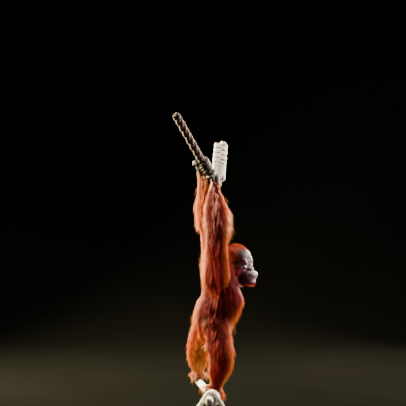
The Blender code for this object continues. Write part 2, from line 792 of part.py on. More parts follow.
def lock_path(root, normal, lie, length, skins):
    # follows the lie, bends down and keeps its distance from every skin on its way
    step = length / LOCK_STEPS
    path = [root - normal * LOCK_SINK]
    normals = [normal]
    point = root.copy()
    heading = (lie + normal * 0.55).normalized()
    for stand_off in LOCK_STAND_OFF:
        point = point + heading * step
        for skin in skins:
            near, out, _, _ = skin.find_nearest(point)
            rise = (point - near).dot(out)
            if rise < stand_off and (point - near).length < 0.06:
                point = near + out * stand_off
        out = skins[0].find_nearest(point)[1]
        path.append(point)
        normals.append(out)
        heading = (heading * 0.55 + lie * 0.30 + Vector((0, 0, -LOCK_FALL))).normalized()
        heading = (heading - out * min(0.0, heading.dot(out))).normalized()
    return path, normals


def grow_locks(name, roots, skins, others, group):
    # makes the locks of one node; a lock that would meet another node is made shorter or left out
    made = []
    for root, normal, lie, length in roots:
        for part_length in LOCK_TRIES:
            reach = length * part_length * random.uniform(0.88, 1.12)
            path, normals = lock_path(root, normal, lie, reach, skins)
            width = LOCK_WIDTH * random.uniform(0.85, 1.15) * (1.0 if length > 0.07 else 0.72)
            lock = lock_mesh(name + "_lock", path, normals, width, LOCK_THICKNESS, group)
            tree = tree_of(lock)
            if not any(tree.overlap(other) for other in others):
                made.append(lock)
                break
            drop(lock)
    return made


def limb_roots(tree, start, end, rows, round_count, length, margin):
    # even rows round a limb, each row turned half a step from the last
    axis = (end - start).normalized()
    side = axis.orthogonal().normalized()
    other = axis.cross(side)
    roots = []
    for row in range(rows):
        middle = start.lerp(end, margin + (1 - 2 * margin) * row / max(rows - 1, 1))
        for k in range(round_count):
            turn = 2 * math.pi * (k + 0.5 * (row % 2) + random.uniform(-0.14, 0.14)) / round_count
            spoke = side * math.cos(turn) + other * math.sin(turn)
            place = middle + axis * random.uniform(-0.010, 0.010)
            hit, normal, _, _ = tree.ray_cast(place + spoke * 0.30, -spoke)
            if hit is None or (hit - place).length > 0.20:
                continue
            down = Vector((0, 0, -1))
            lie = down - normal * down.dot(normal)
            lie = (lie + spoke * 0.12).normalized()
            roots.append((hit, normal, lie, length * random.uniform(0.85, 1.15)))
    return roots


def head_roots(tree, round_count, length):
    # crown, nape, cheeks and beard; the face itself stays bare
    frame = head_frame()
    turned = frame.to_3x3()
    back = turned @ Vector((-1, 0, 0))
    roots = []
    for rise, half_bare, height, weight, sweep in HEAD_ROWS:
        middle = frame @ Vector((0.0, 0.0, height))
        for k in range(round_count):
            turn = math.radians(half_bare + (360 - 2 * half_bare) * k / (round_count - 1))
            tilt = math.radians(rise)
            spoke = turned @ Vector((math.cos(turn) * math.cos(tilt), math.sin(turn) * math.cos(tilt),
                                     math.sin(tilt)))
            hit, normal, _, _ = tree.ray_cast(middle + spoke * 0.25, -spoke)
            if hit is None:
                continue
            down = Vector((0, 0, -weight)) + back * sweep
            lie = (down - normal * down.dot(normal)).normalized()
            roots.append((hit, normal, lie, length * random.uniform(0.85, 1.15)))
    return roots


def foot_roots(tree, side, round_count, length):
    # hair on top of the foot, which hangs over the rope
    ankle = Vector(ANKLE[side])
    hub = lower_rope_at(ankle.y)
    roots = []
    for k in range(round_count):
        place = hub + Vector((0.02, (k - (round_count - 1) / 2) * 0.026, 0.02))
        spoke = Vector((0.86, 0.0, 0.50))
        hit, normal, _, _ = tree.ray_cast(place + spoke * 0.2, -spoke)
        if hit is None:
            continue
        down = Vector((0.25, 0, -1))
        lie = (down - normal * down.dot(normal)).normalized()
        roots.append((hit, normal, lie, length))
    return roots


def bad_edge(obj):
    # the middle of an edge that more or fewer than two faces share, if there is one
    bm = bmesh.new()
    bm.from_mesh(obj.data)
    spots = [(e.verts[0].co + e.verts[1].co) / 2 for e in bm.edges if not e.is_manifold]
    bm.free()
    return spots[0] if spots else None


def fuse_locks(core, locks, work):
    # joins the locks to their node; one that leaves a bad edge is left out
    while True:
        trial = new_object("trial", core.data.copy(), work)
        fuse(trial, [new_object("copy", lock.data.copy(), work) for lock in locks], "MANIFOLD")
        keep_largest(trial)
        spot = bad_edge(trial)
        if spot is None:
            break
        worst = min(locks, key=lambda lock: min((v.co - spot).length for v in lock.data.vertices))
        locks.remove(worst)
        drop(worst)
        drop(trial)
    old = core.data
    core.data = trial.data
    bpy.data.objects.remove(trial)
    bpy.data.meshes.remove(old)
    for lock in locks:
        drop(lock)


def coat(nodes, body_tree, work):
    # grows the locks node by node and fuses each set with the node it grows from
    ends = {"upper_arm": (SHOULDER, ELBOW), "forearm": (ELBOW, WRIST), "thigh": (HIP, KNEE),
            "shin": (KNEE, ANKLE)}
    cores = {}
    for name, obj in nodes.items():
        fat = swollen(obj, 0.0009, work)
        cores[name] = tree_of(fat)
        drop(fat)
    grown = {}
    order = ["head", "torso"]
    for side in SIDES:
        order += [kind + "_" + side for kind in ("foot", "shin", "thigh", "upper_arm", "forearm")]
    for name in order:
        kind = name if name in LOCK_ROWS else name.rsplit("_", 1)[0]
        rows, round_count, length = LOCK_ROWS[kind]
        tree = tree_of(nodes[name])
        if name == "head":
            roots = head_roots(tree, round_count, length)
        elif name == "torso":
            roots = limb_roots(tree, Vector(TRUNK_LOW), Vector(TRUNK_HIGH), rows, round_count, length, 0.0)
        elif kind == "foot":
            roots = foot_roots(tree, name[5:], round_count, length)
        else:
            start, end = (Vector(t[name.rsplit("_", 1)[1]]) for t in ends[kind])
            roots = limb_roots(tree, start, end, rows, round_count, length, 0.14)
        others = [core for other, core in cores.items() if other != name]
        others += [t for other, trees in grown.items() for t in trees]
        skins = [tree_of(nodes[name]), body_tree]
        locks = grow_locks(name, roots, skins, others, work)
        grown[name] = []
        for lock in locks:
            fat = swollen(lock, 0.0006, work)
            grown[name].append(tree_of(fat))
            drop(fat)
        fuse_locks(nodes[name], locks, work)


def paint(obj, look):
    colour, rough = PALETTE[look]
    mat = bpy.data.materials.new(obj.name + "_finish")
    mat.use_nodes = True
    shader = mat.node_tree.nodes["Principled BSDF"]
    shader.inputs["Base Color"].default_value = (*colour, 1.0)
    shader.inputs["Roughness"].default_value = rough
    shader.inputs["Metallic"].default_value = 0.0
    obj.data.materials.clear()
    obj.data.materials.append(mat)


def look_of(name):
    if name.startswith("eye"):
        return "eye"
    if name.startswith(("hand", "foot")):
        return "palm"
    if name.startswith(("head", "ear")):
        return "face"
    if name.startswith("stand"):
        return "stand"
    if name == "rope_upper":
        return "rope_dark"
    if name.startswith("rope"):
        return "rope_pale"
    if name.startswith(("torso", "neck")):
        return "coat"
    return "coat_limb"


def main():
    clear_scene()
    random.seed(SEED)
    model = make_collection(MODEL_NAME)
    work = make_collection("cutters")
    nodes, body_tree = body_nodes(model, work)
    nodes["neck"] = neck_node(model, work, nodes)
    nodes["head"] = head_node(model, work)
    cut_head_from_neck(nodes, work)
    nodes.update(eye_nodes(model))
    nodes.update(ear_nodes(model, work, nodes["head"]))
    nodes.update(rope_nodes(model, work))
    nodes["rope_knot"] = knot_node(model, work, nodes["rope_lower"])
    nodes.update(stand_nodes(model, work, nodes["rope_lower"]))
    for side in SIDES:
        nodes["hand_" + side] = hand_node(side, model, work, nodes["rope_upper"])
        nodes["foot_" + side] = foot_node(side, model, work, nodes["rope_lower"])
    cut(nodes["forearm_left"], swollen(nodes["hand_right"], 4 * CLEARANCE, work))
    cut(nodes["hand_left"], swollen(nodes["hand_right"], 4 * CLEARANCE, work))
    cut(nodes["hand_right"], swollen(nodes["hand_left"], CLEARANCE, work))
    coat(nodes, body_tree, work)
    for name, obj in nodes.items():
        keep_largest(obj)
        paint(obj, look_of(name))
        print(name, len(obj.data.polygons), [round(v, 3) for v in obj.dimensions])
    print("triangles", sum(len(o.data.polygons) for o in nodes.values()))


def cut_head_from_neck(nodes, work):
    # the head ends at a flat plane on top of the neck, and keeps clear of the trunk and the near arm
    axis = Vector(NECK_AXIS).normalized()
    plane = Vector(NECK_TOP) + axis * (CLEARANCE / 2)
    cut(nodes["head"], cylinder("neck_cut", plane - axis * 0.16, plane, 0.16, 32, work))
    for name in ("torso", "upper_arm_right"):
        cut(nodes["head"], swollen(nodes[name], CLEARANCE, work))
    keep_largest(nodes["head"])


main()
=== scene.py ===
import math

import bpy
import numpy as np
from mathutils import Matrix, Vector
from mathutils.bvhtree import BVHTree
from mathutils.kdtree import KDTree


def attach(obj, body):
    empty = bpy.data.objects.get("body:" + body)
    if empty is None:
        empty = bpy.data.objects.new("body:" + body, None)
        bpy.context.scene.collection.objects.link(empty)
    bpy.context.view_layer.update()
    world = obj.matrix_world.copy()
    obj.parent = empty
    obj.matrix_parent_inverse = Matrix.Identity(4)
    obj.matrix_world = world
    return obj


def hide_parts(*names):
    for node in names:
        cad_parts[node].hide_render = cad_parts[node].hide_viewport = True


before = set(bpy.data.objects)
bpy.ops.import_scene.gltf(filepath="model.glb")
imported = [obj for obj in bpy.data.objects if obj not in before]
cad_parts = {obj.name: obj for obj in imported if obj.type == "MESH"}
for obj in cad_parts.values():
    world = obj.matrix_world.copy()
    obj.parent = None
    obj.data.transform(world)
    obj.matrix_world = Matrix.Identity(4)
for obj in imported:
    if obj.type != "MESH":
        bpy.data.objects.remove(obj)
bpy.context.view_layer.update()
draw = np.random.default_rng(7)

# Skeleton, the same joint centres as the solids; the animal's right side is towards -Y
shoulder = {"right": (0.034, -0.106, 1.045), "left": (0.000, 0.100, 1.060)}
elbow = {"right": (0.030, -0.190, 1.305), "left": (-0.036, 0.140, 1.345)}
wrist = {"right": (0.006, -0.072, 1.572), "left": (-0.058, 0.024, 1.642)}
hip = {"right": (0.020, -0.062, 0.705), "left": (-0.040, 0.084, 0.715)}
knee = {"right": (0.052, -0.160, 0.512), "left": (-0.098, 0.190, 0.510)}
ankle = {"right": (0.024, -0.172, 0.335), "left": (-0.104, 0.296, 0.345)}
sides = ("right", "left")

body = {
    "facing": math.radians(25),        # how far the trunk turns from +X towards +Y
    "levels": (                        # height, centre x and y, half depth, half width
        (0.625, -0.008, 0.015, 0.052, 0.064),
        (0.660, -0.004, 0.016, 0.082, 0.098),
        (0.735, 0.012, 0.020, 0.104, 0.112),
        (0.820, 0.038, 0.026, 0.116, 0.124),
        (0.900, 0.056, 0.026, 0.114, 0.132),
        (0.980, 0.045, 0.020, 0.103, 0.134),
        (1.045, 0.020, 0.010, 0.080, 0.120),
        (1.090, 0.012, 0.004, 0.058, 0.082),
    ),
    "slice": 0.018,                    # spacing of the rounds that the trunk is laid up from
    "round": 0.046,                    # half height of one round
    "armRoot": (0.030, 0.010, 0.940),  # where the limbs run to inside the trunk
    "legRoot": (-0.004, 0.016, 0.740),
    "rootShare": 0.55,
    "overlap": 0.020,                  # how far a limb runs on into its hand or foot
    "armGirth": (0.064, 0.066, 0.052, 0.045, 0.045, 0.027, 0.026),
    "legGirth": (0.070, 0.073, 0.068, 0.057, 0.052, 0.032, 0.030),
    "grain": 0.0075,                   # voxel of the body's skin
}
head = {
    "place": (0.176, 0.020, 1.106),
    "yaw": math.radians(-38),
    "pitch": math.radians(3),
    "roll": math.radians(6),
    "grain": 0.0021,
    "neckGirth": 0.063,
    "neckRoute": ((0.030, 0.010, 0.985), (0.088, 0.014, 1.040), (0.152, 0.020, 1.082)),
    "eye": (0.0740, 0.0300, 0.0080),
    "eyeRadius": 0.0122,
    "lid": 0.0036,
    "opening": (0.0114, 0.0056),       # half width and half height between the lids
    "gaze": (0.96, -0.20, -0.06),      # where the eyes look, in the head's own frame
    "ear": (-0.014, 0.075, 0.008),
    "earSize": (0.0155, 0.0085, 0.0205),
    "earCup": (0.0108, 0.0070, 0.0150),
    "earTurn": (math.radians(-28), math.radians(-12)),
    "nape": ((0.0, 0.0, -0.020), (-0.045, 0.0, -0.068), (-0.085, 0.0, -0.110)),
    "napeGirth": (0.060, 0.064, 0.060),
}
# Head forms in its own frame: forward, left, up; centre and radii. Pairs lie on both sides.
headForms = (
    ((-0.012, 0.000, 0.036), (0.086, 0.071, 0.073)),
    ((0.036, 0.000, 0.042), (0.046, 0.057, 0.052)),
    ((0.043, 0.000, -0.016), (0.042, 0.060, 0.050)),
    ((0.074, 0.000, -0.082), (0.058, 0.053, 0.043)),
    ((0.098, 0.000, -0.076), (0.041, 0.044, 0.031)),
    ((0.050, 0.000, -0.112), (0.066, 0.050, 0.033)),
    ((0.092, 0.000, -0.120), (0.034, 0.035, 0.024)),
    ((0.012, 0.000, -0.096), (0.056, 0.050, 0.045)),
    ((0.093, 0.000, -0.038), (0.020, 0.017, 0.011)),
    ((0.077, 0.000, -0.004), (0.012, 0.010, 0.032)),
)
headPairs = (
    ((0.060, 0.027, 0.029), (0.020, 0.027, 0.010)),
    ((0.036, 0.040, -0.034), (0.038, 0.029, 0.038)),
    ((0.000, 0.044, -0.066), (0.045, 0.025, 0.050)),
    ((0.052, 0.034, -0.024), (0.031, 0.023, 0.016)),
    ((0.0985, 0.0120, -0.0425), (0.0105, 0.0080, 0.0072)),
)
# Strokes on the face: centre, reach, push along the skin's normal; each is made on both sides
strokes = (
    ((0.086, 0.012, 0.012), 0.007, -0.0022),
    ((0.078, 0.047, 0.010), 0.008, -0.0016),
    ((0.082, 0.030, 0.026), 0.011, 0.0016),
    ((0.090, 0.006, 0.030), 0.006, 0.0014),
    ((0.080, 0.026, -0.013), 0.007, 0.0014),
    ((0.076, 0.040, -0.020), 0.008, 0.0010),
    ((0.083, 0.026, -0.024), 0.006, -0.0018),
    ((0.094, 0.021, -0.044), 0.005, -0.0024),
    ((0.100, 0.030, -0.060), 0.006, -0.0010),
    ((0.116, 0.000, -0.058), 0.008, -0.0010),
    ((0.128, 0.018, -0.074), 0.014, 0.0018),
    ((0.108, 0.000, -0.128), 0.016, 0.0014),
    ((0.062, 0.050, -0.052), 0.016, -0.0020),
    ((0.060, 0.034, 0.062), 0.016, -0.0012),
)
creases = (                            # face lines: points, reach, depth; on both sides
    (((0.083, 0.018, -0.008), (0.082, 0.030, -0.0145), (0.074, 0.043, -0.008)), 0.0022, 0.0013),
    (((0.082, 0.016, -0.017), (0.080, 0.030, -0.024), (0.070, 0.046, -0.018)), 0.0024, 0.0011),
    (((0.084, 0.016, 0.018), (0.082, 0.030, 0.0225), (0.073, 0.044, 0.017)), 0.0024, 0.0012),
    (((0.100, 0.022, -0.040), (0.098, 0.034, -0.056), (0.086, 0.047, -0.078)), 0.0036, 0.0022),
    (((0.092, 0.030, -0.034), (0.084, 0.042, -0.046), (0.070, 0.052, -0.064)), 0.0034, 0.0014),
    (((0.080, 0.006, 0.044), (0.077, 0.024, 0.046), (0.068, 0.042, 0.043)), 0.0024, 0.0006),
    (((0.078, 0.006, 0.053), (0.075, 0.024, 0.055), (0.064, 0.042, 0.052)), 0.0024, 0.0005),
)
# Tints of the face: kind, place, reach and strength; on both sides where the place is off the middle
faceTints = (
    ("face", (0.080, 0.0, -0.020), 0.062, 1.4),
    # pale: paler skin on the lids and the muzzle; on the muzzle it is in part a painted highlight
    ("pale", (0.080, 0.030, 0.006), 0.015, 0.75),
    ("pale", (0.110, 0.028, -0.090), 0.030, 0.45),
    ("pale", (0.118, 0.0, -0.110), 0.034, 0.50),
    ("dark", (0.088, 0.0, -0.010), 0.018, 1.0),
    ("dark", (0.115, 0.0, -0.045), 0.016, 0.8),
)
tintsEnd = -0.150                      # height in the head's frame below which the skin is plain
mouth = {"centre": (0.060, 0.0, -0.101), "sweep": math.radians(68), "rise": 0.013, "lips": 0.0050,
         "lipShares": ((0.0058, 1.0), (-0.0058, 0.92)), "groove": 0.0016, "grooveEnd": 0.0008}
nostril = {"place": (0.1095, 0.0100, -0.0425), "size": (0.0080, 0.0036, 0.0050),
           "splay": math.radians(30)}

rope = {
    "upperRadius": 0.0255,
    "grip": (-0.0137, -0.030, 1.676),
    "lean": (-0.400, -0.620, 0.680),   # the way the shaded half of the upper rope rises
    "step": {"right": 0.0, "left": 0.112},     # how far up the rope each hand grips
    "nearReach": (0.56, 0.40, 0.22, 0.112, 0.0),
    "bend": (0.010, 0.020, 0.008),
    "bendAt": 0.085,
    "farWay": (0.070, 0.760, 0.640),
    "farReach": (0.060, 0.18, 0.46),
    "farWidth": 0.030,                 # how far the plait's strands swing aside and out
    "farDepth": 0.011,
    "farStrand": 0.0185,
    "farPeriod": 0.115,
    "lowerRadius": 0.0235,
    "lowerRoute": ((-0.030, -0.400, 0.262), (-0.006, -0.172, 0.250), (-0.056, 0.080, 0.246),
                   (-0.100, 0.306, 0.250), (-0.124, 0.430, 0.254)),
    "knotAt": -0.284,
    "knotTurns": 2.6,
    "knotLength": 0.078,
    "knotCord": 0.0150,
}
# Fingers and toes, each by its place along the rope, its girth and the degrees it is laid round to
hand = {
    "grain": 0.0027,
    "turn": {"right": 0.0, "left": math.radians(40)},
    "palmOut": 0.0165,
    "palmUp": -0.012,
    "palmGirth": (0.026, 0.0265, 0.029, 0.031, 0.022),
    "digits": ((-0.033, 0.0098, 232), (-0.011, 0.0106, 240), (0.011, 0.0108, 248), (0.033, 0.0102, 232)),
    "digitsFrom": 8,
    "lead": ((0.020, -0.050), (0.0165, -0.020)),   # a finger's way to the rope: off its surface, and up
    "thumb": 0.036,
    "thumbGirth": (0.012, 0.0105, 0.0095, 0.0075),
}
foot = {
    "ride": 0.019,                     # how far the sole's middle is off the rope's surface
    "soleTurns": (128, 100, 70, 38, 8),
    "heel": 0.046,
    "soleShift": 0.012,
    "soleGirth": (0.020, 0.024, 0.026, 0.025, 0.020),
    "instepGirth": 0.030,
    "digits": ((-0.034, 0.0098, -158), (-0.012, 0.0106, -167), (0.010, 0.0106, -158), (0.031, 0.0098, -167)),
    "digitsFrom": -14,
    "lead": ((0.80, 0.62), (1.02, 0.22)),      # a toe's way to the rope: out and up, in shares of that
    "greatToe": 0.034,
    "greatToeTurns": (96, 122, 150, 178, 204, 226),
    "greatToeGirth": (0.016, 0.015, 0.0138, 0.0126, 0.0118, 0.0100),
}
digitGirths = (1.10, 1.04, 0.96, 1.08, 0.92, 1.04, 0.90, 0.70)
nail = {"size": (0.66, 0.50, 0.13), "out": 0.58, "ahead": 0.15}

# The coat: how fine and how full it is, and how a tuft lies
coat = {
    "tufts": 66000,
    "width": 0.0027,
    "thickness": 0.45,                 # a tuft's thickness as a share of its width
    "profile": (0.55, 1.0, 0.84, 0.52),    # its width along its length
    "steps": 4,
    "sink": 0.003,
    "vary": (0.62, 1.18),
    "lift": 0.36,                      # how steeply a tuft leaves the skin
    "headLift": 0.26,
    "clear": 0.0012,                   # least height of a tuft over the skin
    "gap": 0.08,                       # tips further from the skin than this are left alone
    "stand": 0.15,                     # how far a tip stands off the skin, as a share of its length
    "strayStand": 0.25,
    "tangle": 0.10,
    "fall": 0.42,
    "clump": 0.026,                    # spacing of the locks that tufts gather into
    "gather": 0.46,
    "patch": 0.003,
    "stray": 0.22,                     # share of tufts that stand clear of the locks
}
hairLength = {"torso": 0.120, "upper_arm": 0.125, "forearm": 0.118, "thigh": 0.108, "shin": 0.082,
              "foot": 0.040, "hand": 0.048, "head": 0.060, "beard": 0.028, "throat": 0.075}
sideLength = {"upper_arm_left": 0.72, "forearm_left": 0.80, "thigh_left": 0.85, "forearm_right": 1.05,
              "foot_right": 1.7}
# Where a limb's hair shortens: from, over what stretch, and how much it loses; the thigh's is at its top
tapers = {"forearm": (0.65, 0.35, 0.38), "shin": (0.5, 0.5, 0.40)}
thighTaper = (0.45, 0.45)
# Where hands and feet grow bare: fullest density, where it ends, how it fades, how much length it loses
bareEnds = {"hand": (0.9, 0.70, 0.4, 0.5), "foot": (0.7, 0.75, 0.3, 0.0)}
bareFace = {"brow": 0.082, "browEdge": 0.012, "temple": 0.036, "templeLean": 0.25, "templeEdge": 0.012,
            "cheek": 0.058, "cheekEdge": 0.010, "chin": -0.125, "beard": 0.75, "throat": -0.148}
# How far the trunk's hair stands out, by height: round the sides, and down the back
fluffHeights = (0.68, 0.74, 0.80, 0.88, 0.93, 1.00)
fluffRound = (0.80, 0.80, 0.90, 1.00, 1.00, 0.90)
fluffBack = (0.50, 0.55, 0.90, 1.00, 0.50, 0.25)
# The same for the limbs: share, and the side it holds on, 1 to the front, -1 to the back, 0 all round
fluffLimbs = {"upper_arm_left": (0.35, 0), "upper_arm_right": (0.25, 1), "thigh_left": (0.75, 0),
              "thigh_right": (0.75, 0), "shin_left": (0.75, 0), "shin_right": (0.75, 0)}
fluffWrist = {"right": 0.35, "left": 0.10}     # how much more it stands out towards the wrists
# Painted shade on the coat: where its colour is darkened to stand in for shade
shadow = {
    "side": (-0.30, -0.95, 0.0),
    "most": 0.9,
    "farShare": 0.2,
    "underHead": (-0.050, -0.070, -0.085),
    "underReach": 0.150,
    "core": (0.005, -0.120, 0.900),
    "coreReach": 0.120,
}
# The coat's bones: the girth that each lies under
boneGirth = {"torso": 0.118, "upper_arm": 0.055, "forearm": 0.042, "thigh": 0.070, "shin": 0.048,
             "hand": 0.030, "foot": 0.032, "head": 0.085}
spine = ((0.012, 0.016, 0.66), (0.020, 0.010, 1.08))
skull = (0.01, -0.01, -0.08)

# Each pair is the two ends of a natural variation
tones = {
    "coatRoot": ((0.080, 0.004, 0.004), (0.150, 0.008, 0.007)),
    "coatMiddle": ((0.440, 0.032, 0.014), (0.600, 0.075, 0.028)),
    "coatTip": ((0.760, 0.205, 0.038), (0.950, 0.520, 0.115)),
    "coatPatch": (0.220, 0.020, 0.005),
    # a dark red painted into the coat as shade
    "coatPaintedShade": (0.160, 0.004, 0.007),
    "skin": ((0.014, 0.005, 0.006), (0.026, 0.010, 0.011)),
    "face": ((0.050, 0.021, 0.028), (0.100, 0.048, 0.062)),
    # paler skin, in part a painted highlight on the muzzle
    "paleSkinAndHighlight": (0.400, 0.225, 0.270),
    "darkPatch": (0.045, 0.022, 0.019),
    # a dark red painted on the skin under the coat, to stand in for shaded hair
    "hairShadeUnderCoat": (0.070, 0.012, 0.004),
    "eyeWhite": (0.016, 0.009, 0.007),
    "iris": (0.034, 0.011, 0.004),
    "pupil": (0.002, 0.002, 0.002),
    "nail": ((0.018, 0.012, 0.010), (0.036, 0.024, 0.020)),
    # the upper rope's near, shaded half, coloured dark as painted shade; the rest of that rope is pale
    "shadePaintedRope": ((0.080, 0.048, 0.038), (0.150, 0.100, 0.082)),
    "paleRope": ((0.56, 0.52, 0.48), (0.88, 0.86, 0.83)),
    "grime": (0.36, 0.31, 0.27),
    "stand": ((0.020, 0.020, 0.022), (0.034, 0.034, 0.036)),
    "floor": ((0.0020, 0.0021, 0.0020), (0.0030, 0.0031, 0.0029)),
}
studio = {"run": 26.0, "wide": 26.0, "flat": 9.5, "bend": 3.0, "near": 6.0,
          "sky": (0.86, 0.74, 0.72, 1), "skyStrength": 0.15}
# Lamps: kind, place, what they face, and their settings
lamps = {
    "key": ("AREA", (3.4, 0.5, 2.9), (0.1, 0, 1.1),
            {"size": 0.6, "energy": 320, "color": (1.0, 0.88, 0.78)}),
    "rim right": ("AREA", (2.2, 2.6, 2.2), (0.0, 0, 1.0),
                  {"size": 0.9, "energy": 950, "color": (1.0, 0.84, 0.48)}),
    "rim left": ("AREA", (-2.8, 1.6, 2.2), (-0.05, 0.05, 1.0),
                 {"size": 1.0, "energy": 1850, "color": (1.0, 0.86, 0.48)}),
    "top": ("AREA", (0.2, 0.8, 4.2), (0, 0, 1.2), {"size": 1.2, "energy": 150, "color": (1.0, 0.88, 0.72)}),
    "face": ("SPOT", (3.5, -0.9, 2.5), (0.255, -0.035, 1.075),
             {"spot_size": math.radians(6.5), "spot_blend": 0.6, "shadow_soft_size": 0.10, "energy": 1350,
              "color": (1.0, 0.92, 1.0)}),
}
camera = {"place": (-0.067, -6.0, 1.503), "sensor": 36.0, "lens": 79.4}


# Tools

def only(*objects):
    bpy.ops.object.select_all(action="DESELECT")
    for each in objects:
        each.select_set(True)
    bpy.context.view_layer.objects.active = objects[0]


def sphere(name, centre, radii, turn=None, rings=20):
    bpy.ops.mesh.primitive_uv_sphere_add(segments=rings + 8, ring_count=rings, radius=1.0, location=centre)
    made = bpy.context.object
    made.name = name
    made.scale = radii
    if turn:
        made.rotation_euler = turn.to_euler()
    bpy.ops.object.transform_apply(location=True, rotation=True, scale=True)
    return made


def tube(name, points, radii, roundness=5, steps=5):
    # a closed smooth tube through the points, with a girth at each
    bpy.ops.curve.primitive_bezier_curve_add()
    made = bpy.context.object
    made.name = name
    curve = made.data
    curve.dimensions = "3D"
    curve.bevel_depth = 1.0
    curve.bevel_resolution = roundness
    curve.resolution_u = steps
    curve.use_fill_caps = True
    spline = curve.splines[0]
    spline.bezier_points.add(len(points) - 2)
    for spot, point, radius in zip(spline.bezier_points, points, radii):
        spot.co = point
        spot.radius = radius
        spot.handle_left_type = spot.handle_right_type = "AUTO"
    bpy.ops.object.convert(target="MESH")
    weld(made)
    return made


def weld(made):
    only(made)
    bpy.ops.object.mode_set(mode="EDIT")
    bpy.ops.mesh.select_all(action="SELECT")
    bpy.ops.mesh.remove_doubles(threshold=0.00002)
    bpy.ops.mesh.normals_make_consistent(inside=False)
    bpy.ops.object.mode_set(mode="OBJECT")


def modify(made, kind, **settings):
    only(made)
    bpy.ops.object.modifier_add(type=kind)
    step = made.modifiers[-1]
    for key, value in settings.items():
        setattr(step, key, value)
    bpy.ops.object.modifier_apply(modifier=step.name)
    return made


def joined(name, parts):
    only(*parts)
    bpy.ops.object.join()
    made = bpy.context.object
    made.name = name
    return made


def melted(name, parts, grain, smoothing):
    # one skin over a heap of overlapping forms
    made = joined(name, parts)
    modify(made, "REMESH", mode="VOXEL", voxel_size=grain)
    modify(made, "SMOOTH", factor=0.5, iterations=smoothing)
    return made


def boolean(made, other, operation):
    modify(made, "BOOLEAN", object=other, operation=operation, solver="MANIFOLD")
    bpy.data.objects.remove(other)
    return made


def shaded(made):
    only(made)
    bpy.ops.object.shade_smooth()
    return made


def place(made, slot, *nodes):
    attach(made, "root")
    if nodes:
        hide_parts(*nodes)
    return made


def treeOf(made):
    return BVHTree.FromObject(made, bpy.context.evaluated_depsgraph_get())


def readPoints(made):
    points = np.zeros(len(made.data.vertices) * 3)
    made.data.vertices.foreach_get("co", points)
    return points.reshape(-1, 3)


def writePoints(made, points):
    made.data.vertices.foreach_set("co", points.ravel())
    made.data.update()


def readNormals(made):
    normals = np.zeros(len(made.data.vertices) * 3)
    made.data.vertex_normals.foreach_get("vector", normals)
    return normals.reshape(-1, 3)


def unit(ways):
    return ways / (np.linalg.norm(ways, axis=1)[:, None] + 1e-9)


def writeValue(made, name, values):
    layer = made.data.attributes.new(name, "FLOAT", "POINT")
    layer.data.foreach_set("value", np.asarray(values, np.float32))


def curvePoints(points, steps):
    # evenly smooth points through the given ones
    pts = [Vector(p) for p in points]
    pts = [2 * pts[0] - pts[1]] + pts + [2 * pts[-1] - pts[-2]]
    path = []
    for i in range(1, len(pts) - 2):
        a, b, c, d = pts[i - 1:i + 3]
        for k in range(steps):
            t = k / steps
            path.append(0.5 * ((2 * b) + (c - a) * t + (2 * a - 5 * b + 4 * c - d) * t * t
                               + (3 * b - a - 3 * c + d) * t ** 3))
    path.append(pts[-2])
    return path


def spread(values, count):
    # reads a short list of values at count even steps
    places = np.linspace(0, len(values) - 1, count)
    return list(np.interp(places, range(len(values)), values))


def mirrored(point, sign):
    return Vector((point[0], point[1] * sign, point[2]))


def headFrame():
    turn = (Matrix.Rotation(head["yaw"], 4, "Z") @ Matrix.Rotation(head["pitch"], 4, "Y")
            @ Matrix.Rotation(head["roll"], 4, "X"))
    return Matrix.Translation(Vector(head["place"])) @ turn


def inHeadFrame(points):
    back = np.array(headFrame().inverted())
    return points @ back[:3, :3].T + back[:3, 3]


def lowerAt(y):
    path = curvePoints(rope["lowerRoute"], 12)
    for a, b in zip(path, path[1:]):
        if a.y <= y <= b.y:
            return a.lerp(b, (y - a.y) / (b.y - a.y))
    return path[-1]


# Shader maths

class Wire:
    # a shader value that takes part in Python arithmetic
    def __init__(self, finish, socket):
        self.finish = finish
        self.socket = socket

    def maths(self, operation, first, second):
        return self.finish.node("ShaderNodeMath", "Value", {0: first, 1: second}, operation=operation)

    def __add__(self, other):
        return self.maths("ADD", self, other)

    def __radd__(self, other):
        return self.maths("ADD", other, self)

    def __sub__(self, other):
        return self.maths("SUBTRACT", self, other)

    def __rsub__(self, other):
        return self.maths("SUBTRACT", other, self)

    def __mul__(self, other):
        return self.maths("MULTIPLY", self, other)

    def __rmul__(self, other):
        return self.maths("MULTIPLY", other, self)

    def step(self, low, high):
        return self.finish.node("ShaderNodeMapRange", "Result",
                                {"Value": self, "From Min": low, "From Max": high},
                                interpolation_type="SMOOTHSTEP")


